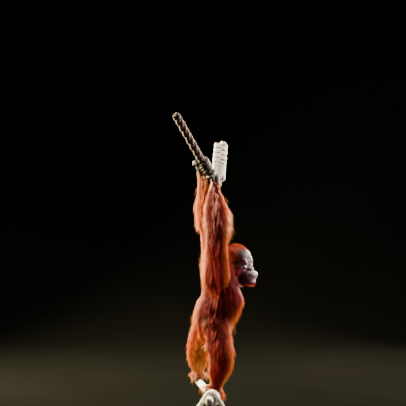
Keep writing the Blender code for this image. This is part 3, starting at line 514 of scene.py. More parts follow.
class Finish:
    # one material on a single principled shader
    def __init__(self, name, **constants):
        self.material = bpy.data.materials.new(name)
        self.material.use_nodes = True
        self.tree = self.material.node_tree
        self.shader = self.tree.nodes["Principled BSDF"]
        for key, value in constants.items():
            self.shader.inputs[key.replace("_", " ")].default_value = value

    def feed(self, socket, value):
        if isinstance(value, Wire):
            self.tree.links.new(value.socket, socket)
        else:
            socket.default_value = value

    def node(self, kind, output, inputs, **settings):
        made = self.tree.nodes.new(kind)
        for key, value in settings.items():
            setattr(made, key, value)
        for key, value in inputs.items():
            self.feed(made.inputs[key], value)
        return Wire(self, made.outputs[output])

    def places(self):
        return self.node("ShaderNodeTexCoord", "Object", {})

    def value(self, name):
        return self.node("ShaderNodeAttribute", "Fac", {}, attribute_name=name)

    def noise(self, scale, detail=3.0, where=None):
        return self.node("ShaderNodeTexNoise", "Fac",
                         {"Vector": where or self.places(), "Scale": scale, "Detail": detail})

    def cells(self, scale):
        return self.node("ShaderNodeTexVoronoi", "Distance", {"Vector": self.places(), "Scale": scale})

    def stretched(self, amounts):
        return self.node("ShaderNodeMapping", "Vector", {"Vector": self.places(), "Scale": amounts})

    def blend(self, share, first, second):
        made = self.tree.nodes.new("ShaderNodeMix")
        made.data_type = "RGBA"
        self.feed(made.inputs["Factor"], share)
        self.feed(made.inputs[6], first if isinstance(first, Wire) else (*first, 1.0))
        self.feed(made.inputs[7], second if isinstance(second, Wire) else (*second, 1.0))
        return Wire(self, made.outputs[2])

    def colour(self, value):
        self.feed(self.shader.inputs["Base Color"], value)

    def rough(self, value):
        self.feed(self.shader.inputs["Roughness"], value)

    def bump(self, height, strength, distance):
        made = self.node("ShaderNodeBump", "Normal",
                         {"Height": height, "Strength": strength, "Distance": distance})
        self.feed(self.shader.inputs["Normal"], made)

    def on(self, *objects):
        for each in objects:
            each.data.materials.clear()
            each.data.materials.append(self.material)


# Head

def mouthLine(tree, lift, out, count=13):
    # points round the muzzle where the lips meet, read from its surface
    centre = Vector(mouth["centre"])
    path = []
    for turn in np.linspace(-mouth["sweep"], mouth["sweep"], count):
        rise = mouth["rise"] * (abs(turn) / mouth["sweep"]) ** 2
        start = centre + Vector((0, 0, lift + rise))
        ray = Vector((math.cos(turn), math.sin(turn), 0))
        hit = tree.ray_cast(start + ray * 0.2, -ray)[0]
        path.append(hit + ray * out)
    return path


def strokeFace(made):
    # presses the folds, hollows and bags of the face into the skin
    points, normals = readPoints(made), readNormals(made)
    push = np.zeros(len(points))
    for sign in (1, -1):
        for centre, reach, amount in strokes:
            near = np.linalg.norm(points - np.array(mirrored(centre, sign)), axis=1)
            push += amount * np.exp(-(near / reach) ** 2) * (0.5 if centre[1] == 0 else 1.0)
        for line, reach, depth in creases:
            path = np.array(curvePoints([mirrored(p, sign) for p in line], 8))
            near = np.min(np.linalg.norm(points[:, None, :] - path[None, :, :], axis=2), axis=1)
            push -= depth * np.exp(-(near / reach) ** 2) * (near < 0.02)
    writePoints(made, points + normals * push[:, None])


def earTilt(sign):
    turn, lean = head["earTurn"]
    return Matrix.Rotation(turn * sign, 3, "Z") @ Matrix.Rotation(lean, 3, "Y")


def makeHead():
    parts = []
    for centre, radii in headForms:
        parts.append(sphere("form", centre, radii, rings=28))
    for sign in (1, -1):
        for centre, radii in headPairs:
            parts.append(sphere("form", mirrored(centre, sign), radii, rings=24))
        eye = mirrored(head["eye"], sign)
        parts.append(sphere("form", eye, (head["eyeRadius"] + head["lid"],) * 3, rings=24))
        parts.append(sphere("form", mirrored(head["ear"], sign), head["earSize"], earTilt(sign), rings=24))
    parts.append(tube("form", head["nape"], head["napeGirth"]))
    made = melted("skin_head", parts, head["grain"], smoothing=9)
    tree = treeOf(made)
    lips = []
    for lift, size in mouth["lipShares"]:
        path = mouthLine(tree, lift, -0.0016)
        fullness = [0.35 + 0.65 * math.sin(math.pi * k / 12) ** 0.6 for k in range(13)]
        lips.append(tube("lip", path, [mouth["lips"] * size * share for share in fullness]))
    made = melted("skin_head", [made] + lips, head["grain"], smoothing=3)
    strokeFace(made)
    tree = treeOf(made)
    groove = mouthLine(tree, 0.0, -0.0002, 17)
    girths = (mouth["grooveEnd"], mouth["groove"], mouth["groove"], mouth["grooveEnd"])
    boolean(made, tube("groove", groove, spread(girths, 17)), "DIFFERENCE")
    for sign in (1, -1):
        eye = mirrored(head["eye"], sign)
        gap = head["eyeRadius"] + 0.0003
        boolean(made, sphere("socket", eye, (gap, gap, gap), rings=24), "DIFFERENCE")
        wide, tall = head["opening"]
        opening = sphere("opening", eye + Vector((0.012, 0.001 * sign, 0)), (0.012, wide, tall),
                         Matrix.Rotation(math.radians(7 * sign), 3, "X"), rings=24)
        boolean(made, opening, "DIFFERENCE")
        boolean(made, sphere("nostril", mirrored(nostril["place"], sign), nostril["size"],
                             Matrix.Rotation(nostril["splay"] * sign, 3, "Z"), rings=16), "DIFFERENCE")
        tilt = earTilt(sign)
        cup = mirrored(head["ear"], sign) + tilt @ Vector((0.0015, 0.0085 * sign, 0.001))
        boolean(made, sphere("cup", cup, head["earCup"], tilt, rings=20), "DIFFERENCE")
    made.data.transform(headFrame())
    return made


def makeEyes():
    made = []
    for side, sign in (("right", -1), ("left", 1)):
        centre = mirrored(head["eye"], sign)
        eye = sphere("eye_" + side, centre, (head["eyeRadius"],) * 3, rings=32)
        gaze = Vector(head["gaze"]).normalized()
        points = readPoints(eye)
        out = (points - np.array(centre)) / head["eyeRadius"]
        facing = out @ np.array(gaze)
        bulge = np.clip((facing - 0.80) / 0.20, 0, 1) * 0.0009
        writePoints(eye, points + out * bulge[:, None])
        writeValue(eye, "facing", facing)
        eye.data.transform(headFrame())
        shaded(eye)
        place(eye, "eye", "eye_" + side)
        made.append(eye)
    return made


# Hands and feet

def wrappedDigits(shape, lead, hub, along, out, up, around):
    # fingers or toes laid round the rope, with a nail on each
    digits, nails = [], []
    for shift, size, end in shape["digits"]:
        centre = hub + along * shift
        path = [centre + out * u + up * v for u, v in lead]
        reach = around + size * 0.96
        for turn in np.linspace(math.radians(shape["digitsFrom"]), math.radians(end), 8):
            path.append(centre + out * (reach * math.cos(turn)) + up * (reach * math.sin(turn)))
        girths = spread(digitGirths, len(path))
        digits.append(tube("digit", path, [size * g for g in girths], roundness=4, steps=4))
        tip, before = path[-1], path[-2]
        outward = (tip - centre) - along * (tip - centre).dot(along)
        nails.append(makeNail(tip, (tip - before).normalized(), outward.normalized(), size))
    return digits, nails


def makeNail(tip, ahead, outward, size):
    side = ahead.cross(outward).normalized()
    turn = Matrix((ahead, side, outward)).transposed()
    spot = tip + outward * (size * nail["out"]) + ahead * (size * nail["ahead"])
    return sphere("nail", spot, [size * share for share in nail["size"]], turn, rings=10)


def gripPlace(side):
    # the middle of a hand's grip on the upper rope
    return Vector(rope["grip"]) + Vector(rope["lean"]).normalized() * rope["step"][side]


def crossFrame(along):
    # up and aside, square to a rope
    up = (Vector((0, 0, 1)) - along * along.z).normalized()
    return up, up.cross(along).normalized()


def makeHand(side):
    lean = Vector(rope["lean"]).normalized()
    hub = gripPlace(side)
    up, out = crossFrame(lean)
    if (out.y < 0) != (side == "right"):
        out = -out
    turn = hand["turn"][side]
    out, up = out * math.cos(turn) + up * math.sin(turn), up * math.cos(turn) - out * math.sin(turn)
    joint, arm = Vector(wrist[side]), (Vector(wrist[side]) - Vector(elbow[side])).normalized()
    radius = rope["upperRadius"]
    palm = hub + out * (radius + hand["palmOut"]) + up * hand["palmUp"]
    route = [joint - arm * 0.050, joint + arm * 0.012, joint.lerp(palm, 0.62), palm,
             palm + up * 0.020 + out * -0.004]
    parts = [tube("palm", route, hand["palmGirth"])]
    lead = [(radius + u, v) for u, v in hand["lead"]]
    digits, nails = wrappedDigits(hand, lead, hub, lean, out, up, radius)
    parts += digits
    thumb = hand["thumb"]
    route = [palm + lean * (thumb * 0.4) - up * 0.040, palm + lean * thumb - up * 0.030,
             palm + lean * (thumb * 1.15) - out * 0.016 - up * 0.030,
             palm + lean * (thumb * 1.05) - out * 0.042 - up * 0.026]
    parts.append(tube("thumb", route, hand["thumbGirth"]))
    return melted("skin_hand_" + side, parts, hand["grain"], smoothing=3), nails


def makeFoot(side):
    joint, shin = Vector(ankle[side]), (Vector(ankle[side]) - Vector(knee[side])).normalized()
    hub = lowerAt(joint.y)
    along = (lowerAt(joint.y - 0.05) - lowerAt(joint.y + 0.05)).normalized()
    up, out = crossFrame(along)
    if out.x < 0:
        out = -out
    inner = along * (-1 if side == "right" else 1)
    radius = rope["lowerRadius"]
    ride = radius + foot["ride"]
    sole = []
    for turn in foot["soleTurns"]:
        a = math.radians(turn)
        sole.append(hub + out * (ride * 1.06 * math.cos(a)) + up * (ride * math.sin(a)))
    heel = hub - out * foot["heel"] + up * (ride * 0.86)
    route = [heel, sole[1], sole[2], sole[3], sole[4]]
    parts = []
    for shift in (-foot["soleShift"], foot["soleShift"]):
        parts.append(tube("sole", [p + along * shift for p in route], foot["soleGirth"]))
    parts.append(tube("instep", [joint - shin * 0.050, joint + shin * 0.004, sole[1].lerp(sole[2], 0.5)],
                      (foot["instepGirth"],) * 3))
    lead = [(ride * u, ride * v) for u, v in foot["lead"]]
    digits, nails = wrappedDigits(foot, lead, hub, along, out, up, radius)
    parts += digits
    toe = [hub + inner * foot["greatToe"] + out * (ride * math.cos(math.radians(t)) * 0.93)
           + up * (ride * math.sin(math.radians(t)) * 0.93) for t in foot["greatToeTurns"]]
    parts.append(tube("great_toe", toe, foot["greatToeGirth"]))
    return melted("skin_foot_" + side, parts, hand["grain"], smoothing=3), nails


# Body and the one skin

def limbPath(side, kind):
    first, second, third = (Vector(t[side]) for t in
                            ((shoulder, elbow, wrist) if kind == "arm" else (hip, knee, ankle)))
    inside = Vector(body[kind + "Root"])
    tip = third + (third - second).normalized() * body["overlap"]
    upper, lower = first.lerp(second, 0.5), second.lerp(third, 0.5)
    return [first.lerp(inside, body["rootShare"]), first, upper, second, lower, third, tip]


def makeBody():
    parts = []
    levels = np.array(body["levels"])
    turn = Matrix.Rotation(body["facing"], 3, "Z")
    for height in np.arange(levels[0, 0], levels[-1, 0], body["slice"]):
        x, y, depth, width = (np.interp(height, levels[:, 0], levels[:, k]) for k in range(1, 5))
        parts.append(sphere("round", (x, y, height), (depth, width, body["round"]), turn, rings=20))
    for side in sides:
        parts.append(tube("arm", limbPath(side, "arm"), body["armGirth"], roundness=7))
        parts.append(tube("leg", limbPath(side, "leg"), body["legGirth"], roundness=7))
    parts.append(tube("neck", head["neckRoute"], (head["neckGirth"],) * 3, roundness=7))
    return melted("skin", parts, body["grain"], smoothing=10)


def gaussian(points, centre, reach):
    return np.exp(-(np.linalg.norm(points - np.array(centre), axis=1) / reach) ** 2)


def makeSkin():
    made = makeBody()
    print("body skin", len(made.data.polygons))
    nails = []
    for side in sides:
        palm, fingerNails = makeHand(side)
        sole, toeNails = makeFoot(side)
        boolean(made, palm, "UNION")
        boolean(made, sole, "UNION")
        nails += fingerNails + toeNails
    print("hands and feet", len(made.data.polygons))
    boolean(made, makeHead(), "UNION")
    modify(made, "TRIANGULATE")
    print("whole skin", len(made.data.polygons))
    shaded(made)
    points = readPoints(made)
    local = inHeadFrame(points)
    above = np.clip((local[:, 2] - tintsEnd) / 0.010, 0, 1)
    for kind in ("face", "pale", "dark"):
        tint = np.zeros(len(points))
        for name, centre, reach, strength in faceTints:
            for sign in (1, -1) if centre[1] else (1,):
                tint += (name == kind) * strength * gaussian(local, mirrored(centre, sign), reach)
        writeValue(made, kind, np.clip(tint, 0, 1) * above)
    writeValue(made, "furry", coatMaps(points, boneTable())[4])
    return made, shaded(joined("nails", nails))


# Coat

def boneTable():
    rows = [("torso", Vector(spine[0]), Vector(spine[1]))]
    chains = (("upper_arm_", shoulder, elbow), ("forearm_", elbow, wrist), ("thigh_", hip, knee),
              ("shin_", knee, ankle))
    for side in sides:
        rows += [(name + side, Vector(start[side]), Vector(end[side])) for name, start, end in chains]
        rows.append(("hand_" + side, Vector(wrist[side]), Vector(wrist[side]).lerp(gripPlace(side), 0.9)))
        rows.append(("foot_" + side, Vector(ankle[side]), lowerAt(ankle[side][1])))
    rows.append(("head", Vector(head["place"]), Vector(head["place"]) + Vector(skull)))
    return rows


def nearestBone(points, bones):
    best = np.full(len(points), 1e9)
    index = np.zeros(len(points), int)
    along = np.zeros(len(points))
    for k, (name, start, end) in enumerate(bones):
        a, b = np.array(start), np.array(end)
        t = np.clip((points - a) @ (b - a) / ((b - a) @ (b - a)), 0, 1)
        gap = np.linalg.norm(points - (a + t[:, None] * (b - a)), axis=1) - boneGirth[kindOf(name)]
        better = gap < best
        best[better], index[better], along[better] = gap[better], k, t[better]
    return index, along


def kindOf(name):
    return name if name in ("torso", "head") else name.rsplit("_", 1)[0]


def scatter(made, count, density):
    # random places on a mesh, more where the density at its vertices is higher
    mesh = made.data
    mesh.calc_loop_triangles()
    corners = np.zeros(len(mesh.loop_triangles) * 3, int)
    mesh.loop_triangles.foreach_get("vertices", corners)
    corners = corners.reshape(-1, 3)
    points, normals = readPoints(made), readNormals(made)
    a, b, c = (points[corners[:, k]] for k in range(3))
    area = np.linalg.norm(np.cross(b - a, c - a), axis=1) / 2
    weight = area * density[corners].mean(axis=1)
    chosen = draw.choice(len(corners), count, p=weight / weight.sum())
    u, v = draw.random(count), draw.random(count)
    flip = u + v > 1
    u[flip], v[flip] = 1 - u[flip], 1 - v[flip]
    share = np.stack((1 - u - v, u, v), axis=1)[:, :, None]
    roots = (points[corners[chosen]] * share).sum(axis=1)
    ways = (normals[corners[chosen]] * share).sum(axis=1)
    return roots, ways / np.linalg.norm(ways, axis=1)[:, None]


def coatMaps(points, bones):
    # how dense and how long the coat is at each place
    index, along = nearestBone(points, bones)
    names = [name for name, _, _ in bones]
    kinds = np.array([kindOf(n) for n in names])[index]
    length = np.array([hairLength[kindOf(n)] * sideLength.get(n, 1.0) for n in names])[index]
    density = np.ones(len(points))
    for kind, (start, stretch, loss) in tapers.items():
        length *= 1 - loss * (kinds == kind) * np.clip((along - start) / stretch, 0, 1)
    stretch, loss = thighTaper
    length *= 1 - loss * (kinds == "thigh") * np.clip(1 - along / stretch, 0, 1)
    for kind, (most, end, fade, loss) in bareEnds.items():
        here = kinds == kind
        density[here] = most * np.clip((end - along[here]) / fade, 0, 1)
        length[here] *= 1 - loss * along[here]
    local = inHeadFrame(points)
    onHead = kinds == "head"
    x, y, z = local.T
    # the bare face: its edge runs over the brow, down the temples and under the chin
    brow = (z - bareFace["brow"]) / bareFace["browEdge"]
    temple = (bareFace["temple"] - x - bareFace["templeLean"] * np.abs(z + 0.02)) / bareFace["templeEdge"]
    edge = np.maximum.reduce([brow, temple, (np.abs(y) - bareFace["cheek"]) / bareFace["cheekEdge"]])
    hairy = np.clip(edge + 0.5, 0, 1)
    density[onHead] = hairy[onHead]
    beard = onHead & (z < bareFace["chin"])
    density[beard] = np.maximum(density[beard], bareFace["beard"])
    length[onHead] *= 0.42 + 0.58 * np.clip(edge[onHead] / 2.5, 0, 1)
    length[beard] = hairLength["beard"]
    throat = onHead & (z < bareFace["throat"])
    density[throat] = 1.0
    length[throat] = hairLength["throat"]
    return index, along, kinds, length, density, local


def fluff(roots, ways, names, along):
    # how far the hair of each place stands out, as a share of the usual
    share = np.ones(len(roots))
    trunk = names == "torso"
    back = np.clip(-ways[:, 0] * 1.6 + 0.1, 0, 1)
    share[trunk] = (np.interp(roots[:, 2], fluffHeights, fluffRound) * (1 - back)
                    + np.interp(roots[:, 2], fluffHeights, fluffBack) * back)[trunk]
    for name, (amount, way) in fluffLimbs.items():
        share[(names == name) & (ways[:, 0] * way >= 0)] = amount
    right = (names == "forearm_right") & (ways[:, 0] > 0)
    share[right] = 1 + fluffWrist["right"] * np.clip((along[right] - 0.25) / 0.4, 0, 1)
    left = (names == "forearm_left") & (ways[:, 0] < 0) & (along > 0.5)
    share[left] = 1 + fluffWrist["left"]
    return share


def shadeMap(roots, ways, names, onHead, local):
    # painted shade: the coat's colour is darkened where shade falls, on the near side, the cheeks and the
    # hollow under the head
    facing = np.clip(ways @ np.array(shadow["side"]) * 2.0 - 0.7, 0, 1)
    paintedShade = np.where(onHead, np.clip(1.0 - (local[:, 2] - 0.02) / 0.20, 0.5, 1.0), shadow["most"] * facing)
    far = np.array([name.endswith("left") for name in names])
    paintedShade[far] *= shadow["farShare"]
    trunk = names == "torso"
    under = gaussian(roots, np.array(head["place"]) + shadow["underHead"], shadow["underReach"])
    paintedShade[trunk] = np.maximum(paintedShade, 1.2 * under)[trunk]
    core = gaussian(roots, shadow["core"], shadow["coreReach"])
    return np.maximum(paintedShade, core * ~far).clip(0, 1)


def combed(onHead, local):
    # the way the coat is drawn: down, but back over the crown and aside over the cheeks
    turned = headFrame().to_3x3()
    back = np.array(turned @ Vector((-1, 0, 0)))
    down = np.array((0.0, 0.0, -1.0))
    pull = np.tile(down, (len(local), 1))
    crown = onHead & (local[:, 2] > -0.02)
    sweep = np.clip((local[:, 0] + 0.05) / 0.09, 0, 1)[:, None]
    pull[crown] = (back * sweep + down * (1.05 - sweep))[crown]
    cheek = onHead & ~crown
    sideways = np.sign(local[:, 1])[:, None] * np.array(turned @ Vector((0, 1, 0)))
    pull[cheek] = (down + 0.35 * sideways - 0.15 * back)[cheek]
    return pull


def growCoat(skin):
    # each tuft starts on the skin and bends down over it, step by step
    bones = boneTable()
    density = coatMaps(readPoints(skin), bones)[4]
    roots, ways = scatter(skin, coat["tufts"], density)
    index, along, kinds, length, _, local = coatMaps(roots, bones)
    names = np.array([name for name, _, _ in bones])[index]
    standing = fluff(roots, ways, names, along)
    length = length * draw.uniform(*coat["vary"], len(roots)) * (0.5 + 0.5 * standing)
    tree = treeOf(skin)
    onHead = kinds == "head"
    pull = combed(onHead, local)
    lie = pull - ways * (pull * ways).sum(axis=1)[:, None]
    lie = unit(lie + coat["tangle"] * draw.normal(size=lie.shape))
    stray = draw.random(len(roots)) < coat["stray"]
    lift = np.where(onHead, coat["headLift"], coat["lift"]) * draw.uniform(0.6, 1.4, len(roots))
    lift = lift * np.where(stray, 2.0, 1.0) * standing
    steps = coat["steps"]
    paths = np.zeros((steps + 1, len(roots), 3))
    outs = np.zeros((steps + 1, len(roots), 3))
    paths[0] = roots - ways * coat["sink"]
    outs[:] = ways
    heading = unit(lie + ways * lift[:, None])
    point = roots.copy()
    stride = length / steps
    for k in range(1, steps + 1):
        point = point + heading * stride[:, None]
        share = np.where(stray, coat["strayStand"], coat["stand"]) * standing
        stand = coat["clear"] + share * length * (k / steps) ** 1.6
        hits = [tree.find_nearest(spot) for spot in point]
        near, gap = np.array([hit[0] for hit in hits]), np.array([hit[3] for hit in hits])
        outs[k] = [hit[1] for hit in hits]
        low = (sum(((point - near) * outs[k]).T) < stand) & (gap < coat["gap"])
        point[low] = (near + outs[k] * stand[:, None])[low]
        paths[k] = point
        heading = heading * 0.62 + lie * 0.22 + pull * coat["fall"] * (0.4 + 0.2 * k)
        inward = np.minimum((heading * outs[k]).sum(axis=1), 0)
        heading = unit(heading - outs[k] * inward[:, None])
    gatherLocks(paths, roots, stray)
    legs = np.diff(paths, axis=0)
    reach = np.linalg.norm(legs, axis=2)
    turns = (legs[1:] * legs[:-1]).sum(axis=2) / (reach[1:] * reach[:-1] + 1e-12)
    kept = (turns.min(axis=0) > 0.45) & (reach.max(axis=0) < 2.2 * stride + 0.004)
    print("tufts grown", len(roots), "kept", kept.sum())
    paintedShade = shadeMap(roots, ways, names, onHead, local)
    return index[kept], length[kept], roots[kept], paths[:, kept], outs[:, kept], paintedShade[kept]


def gatherLocks(paths, roots, stray):
    # tufts near one another draw together into locks towards their tips
    cell = coat["clump"]
    seen = {}
    for i, spot in enumerate(np.floor(roots / cell).astype(int)):
        seen.setdefault(tuple(spot), i)
    leaders = list(seen.values())
    tree = KDTree(len(leaders))
    for k, i in enumerate(leaders):
        tree.insert(roots[i], k)
    tree.balance()
    owner = np.array([leaders[tree.find(r)[1]] for r in roots])
    last = len(paths) - 1
    for k in range(1, last + 1):
        share = coat["gather"] * (k / last) ** 1.3
        away = np.linalg.norm(paths[k][owner] - paths[k], axis=1)
        share = share * (away < 3 * cell) * draw.uniform(0.7, 1.0, len(roots)) * ~stray
        paths[k] += (paths[k][owner] - paths[k]) * share[:, None]


def tuftMesh(name, chosen, grown):
    # one closed three-sided blade to each tuft, joined in one mesh
    index, length, roots, paths, outs, paintedShade = grown
    paths, outs = paths[:, chosen], outs[:, chosen]
    steps, count = coat["steps"], len(chosen)
    width = coat["width"] * np.clip(length[chosen] / 0.09, 0.34, 1.15) * draw.uniform(0.7, 1.25, count)
    verts = np.zeros((count, steps * 3 + 1, 3))
    for k in range(steps):
        ahead = unit(paths[k + 1] - paths[max(k - 1, 0)])
        side = unit(np.cross(ahead, outs[k]))
        over = np.cross(side, ahead)
        half = (width * coat["profile"][k] / 2)[:, None]
        verts[:, k * 3] = paths[k] - side * half
        verts[:, k * 3 + 1] = paths[k] + side * half
        verts[:, k * 3 + 2] = paths[k] + over * half * 2 * coat["thickness"]
    verts[:, -1] = paths[steps]
    faces = [(2, 1, 0)]
    for k in range(steps - 1):
        for a in range(3):
            b = (a + 1) % 3
            low, high = k * 3, k * 3 + 3
            faces += [(low + a, low + b, high + b), (low + a, high + b, high + a)]
    top = (steps - 1) * 3
    faces += [(top + a, top + (a + 1) % 3, steps * 3) for a in range(3)]
    faces = np.array(faces)
    every = (faces[None] + np.arange(count)[:, None, None] * verts.shape[1]).reshape(-1, 3)
    mesh = bpy.data.meshes.new(name)
    mesh.from_pydata(verts.reshape(-1, 3), [], every)
    made = bpy.data.objects.new(name, mesh)
    bpy.context.scene.collection.objects.link(made)
    rank = np.minimum(np.arange(verts.shape[1]) // 3, steps) / steps
    writeValue(made, "along", np.tile(rank, count))
    writeValue(made, "shade", np.repeat(draw.random(count), verts.shape[1]))
    # each tuft's painted shade, read by the coat's colour
    writeValue(made, "paintedShade", np.repeat(paintedShade[chosen], verts.shape[1]))
    spot = unwrapped(roots[chosen], index[chosen])
    corner = np.stack((rank[faces.ravel()] - 0.5, (faces.ravel() % 3) / 2 - 0.5), axis=1) * coat["patch"]
    layer = mesh.uv_layers.new(name="OFBake")
    layer.data.foreach_set("uv", (spot[:, None, :] + corner[None]).astype(np.float32).ravel())
    shaded(made)
    return made


def unwrapped(roots, index):
    # each part of the body is rolled out flat on its own strip: round the bone by along it
    bones = boneTable()
    spots = np.zeros((len(roots), 2))
    for k in np.unique(index):
        here = index == k
        start, end = bones[k][1:]
        axis = (end - start).normalized()
        side = axis.orthogonal().normalized()
        other = axis.cross(side)
        local = roots[here] - np.array(start)
        turn = np.arctan2(local @ np.array(other), local @ np.array(side)) / (2 * math.pi) + 0.5
        reach = local @ np.array(axis) / (end - start).length
        strip = np.clip((reach + 0.5) / 2.0, 0.01, 0.99)
        spots[here, 0] = (k % 4 + 0.02 + 0.96 * turn) / 4
        spots[here, 1] = (k // 4 + 0.02 + 0.96 * strip) / 4
    return spots


def makeCoat(skin):
    grown = growCoat(skin)
    index, roots = grown[0], grown[2]
    names = np.array([name for name, _, _ in boneTable()])[index]
    kinds = np.array([kindOf(n) for n in names])
    trunk, front, high = kinds == "torso", roots[:, 0] >= 0.02, roots[:, 2] > 0.88
    groups = {
        "coat_chest": trunk & front & high,
        "coat_belly": trunk & front & ~high,
        "coat_upper_back": trunk & ~front & high,
        "coat_lower_back": trunk & ~front & ~high,
        "coat_head": kinds == "head",
    }
    for side in sides:
        ownSide = np.array([n.endswith(side) for n in names])
        groups["coat_upper_arm_" + side] = ownSide & (kinds == "upper_arm")
        groups["coat_forearm_" + side] = ownSide & ((kinds == "forearm") | (kinds == "hand"))
        groups["coat_thigh_" + side] = ownSide & (kinds == "thigh")
        groups["coat_shin_" + side] = ownSide & ((kinds == "shin") | (kinds == "foot"))
    made = []
    for name, mask in groups.items():
        chosen = np.flatnonzero(mask)
        piece = tuftMesh(name, chosen, grown)
        place(piece, "coat")
        made.append(piece)
        print(name, len(chosen), "tufts", len(piece.data.polygons), "faces")
    return made


# Ropes

def strand(path, offset, girth, turns, phase, wobble):
    # one strand laid round a path
    points = []
    side = None
    count = len(path)
    for k, point in enumerate(path):
        ahead = aheadAt(path, k)
        if side is None:
            side = ahead.orthogonal()
        side = (side - ahead * side.dot(ahead)).normalized()
        other = ahead.cross(side)
        turn = 2 * math.pi * turns * k / (count - 1) + phase
        reach = offset * (1 + wobble * math.sin(k * 1.7 + phase * 3))
        points.append(point + side * (reach * math.cos(turn)) + other * (reach * math.sin(turn)))
    girths = [girth * (1 + wobble * math.sin(k * 2.3 + phase * 5)) for k in range(count)]
    return tube("strand", points, girths, roundness=3, steps=2)


def ropePath(route, spacing):
    length = sum((Vector(b) - Vector(a)).length for a, b in zip(route, route[1:]))
    return length, curvePoints(route, max(2, int(length / spacing / (len(route) - 1))))


def aheadAt(path, k):
    return (path[min(k + 1, len(path) - 1)] - path[max(k - 1, 0)]).normalized()


def laidRope(name, route, radius, turnsPerMetre, wobble=0.0, spacing=0.012):
    # three strands laid round one another
    length, path = ropePath(route, spacing)
    parts = []
    for k in range(3):
        parts.append(strand(path, radius * 0.33, radius * 0.69, turnsPerMetre * length,
                            2 * math.pi * k / 3, wobble))
    return joined(name, parts)


def plaitedRope(name, route, width, depth, girth, period):
    # three strands that cross one another from side to side
    length, path = ropePath(route, 0.010)
    parts = []
    for phase in range(3):
        points = []
        for k, point in enumerate(path):
            ahead = aheadAt(path, k)
            side = ahead.cross(Vector((0, 0, 1))).normalized()
            turn = 2 * math.pi * (k / (len(path) - 1) * length / period + phase / 3)
            outward = ahead.cross(side) * (depth * math.sin(2 * turn))
            points.append(point + side * (width * math.sin(turn)) + outward)
        parts.append(tube("strand", points, [girth] * len(points), roundness=4, steps=2))
    return joined(name, parts)


def makeRopes():
    grip, lean = Vector(rope["grip"]), Vector(rope["lean"]).normalized()
    near = [grip + lean * reach for reach in rope["nearReach"]]
    bend = grip - lean * rope["bendAt"] + Vector(rope["bend"])
    away = Vector(rope["farWay"]).normalized()
    far = [bend + away * reach for reach in rope["farReach"]]
    # the near half of the upper rope is its shaded half, given a dark colour as painted shade; the plait
    # beyond is the same rope, pale
    upper = laidRope("rope_dark", near + [bend] + far[:1], rope["upperRadius"], 9.0)
    pale = plaitedRope("rope_far", far, rope["farWidth"], rope["farDepth"], rope["farStrand"],
                       rope["farPeriod"])
    lower = laidRope("rope_low", list(rope["lowerRoute"]), rope["lowerRadius"], 10.0, wobble=0.04)
    centre = lowerAt(rope["knotAt"])
    axis = (lowerAt(rope["knotAt"] - 0.04) - lowerAt(rope["knotAt"] + 0.04)).normalized()
    side = axis.cross(Vector((0, 0, 1))).normalized()
    over = side.cross(axis)
    reach = rope["lowerRadius"] + rope["knotCord"]
    path = []
    for f in np.linspace(0, 1, 16):
        angle = 2 * math.pi * rope["knotTurns"] * f - 0.6
        path.append(centre + axis * ((f - 0.5) * rope["knotLength"]) + side * (reach * math.cos(angle))
                    + over * (reach * math.sin(angle)))
    ends = [path[0] + Vector((-0.075, 0.030, -0.070)), path[0] + Vector((-0.040, 0.018, -0.024))]
    tail = [path[-1] + Vector((0.030, -0.010, -0.030)), path[-1] + Vector((0.060, -0.004, -0.085))]
    route = ends + path[1:-1] + tail
    knot = laidRope("rope_lashing", route, rope["knotCord"], 16.0, wobble=0.05, spacing=0.010)
    for each in (upper, pale, lower, knot):
        shaded(each)
    place(upper, "rope_dark", "rope_upper")
    place(pale, "rope_pale", "rope_upper_far")
    place(lower, "rope_pale", "rope_lower")
    place(knot, "rope_pale", "rope_knot")
    return upper, [pale, lower, knot]


# Materials

def finishSkin(skin):
    made = Finish("bare skin", Specular_IOR_Level=0.8, Subsurface_Weight=0.08, Subsurface_Scale=0.004,
                  Subsurface_Radius=(1.0, 0.4, 0.25))
    mottle = made.noise(60.0, 4.0)
    base = made.blend(mottle, *tones["skin"])
    face = made.blend(mottle, *tones["face"])
    tone = made.blend(made.value("face"), base, face)
    # pale patches: paler skin on the lids and muzzle, on the muzzle partly a painted highlight
    tone = made.blend(made.value("pale") * 0.8, tone, tones["paleSkinAndHighlight"])
    tone = made.blend(made.value("dark") * 0.6, tone, tones["darkPatch"])
    # painted shade: where the coat grows, the skin takes a dark red that reads as shaded hair
    tone = made.blend(made.value("furry").step(0.2, 0.9), tone, tones["hairShadeUnderCoat"])
    made.colour(tone)
    made.rough(0.58 - 0.34 * made.value("face") + 0.16 * made.noise(140.0, 2.0))
    wrinkles = made.cells(420.0) * 0.6 + made.noise(900.0, 2.0, made.stretched((1.0, 1.0, 2.4))) * 0.6
    made.bump(wrinkles, 0.5, 0.0010)
    made.on(skin)


def finishEyes(eyes):
    made = Finish("eye", Coat_Weight=1.0, Coat_Roughness=0.03, Roughness=0.25)
    facing = made.value("facing")
    iris = made.blend(facing.step(0.80, 0.86), tones["eyeWhite"], tones["iris"])
    made.colour(made.blend(facing.step(0.925, 0.940), iris, tones["pupil"]))
    made.on(*eyes)


def finishNails(nails):
    made = Finish("nail", Roughness=0.5)
    made.colour(made.blend(made.noise(220.0), *tones["nail"]))
    made.on(nails)


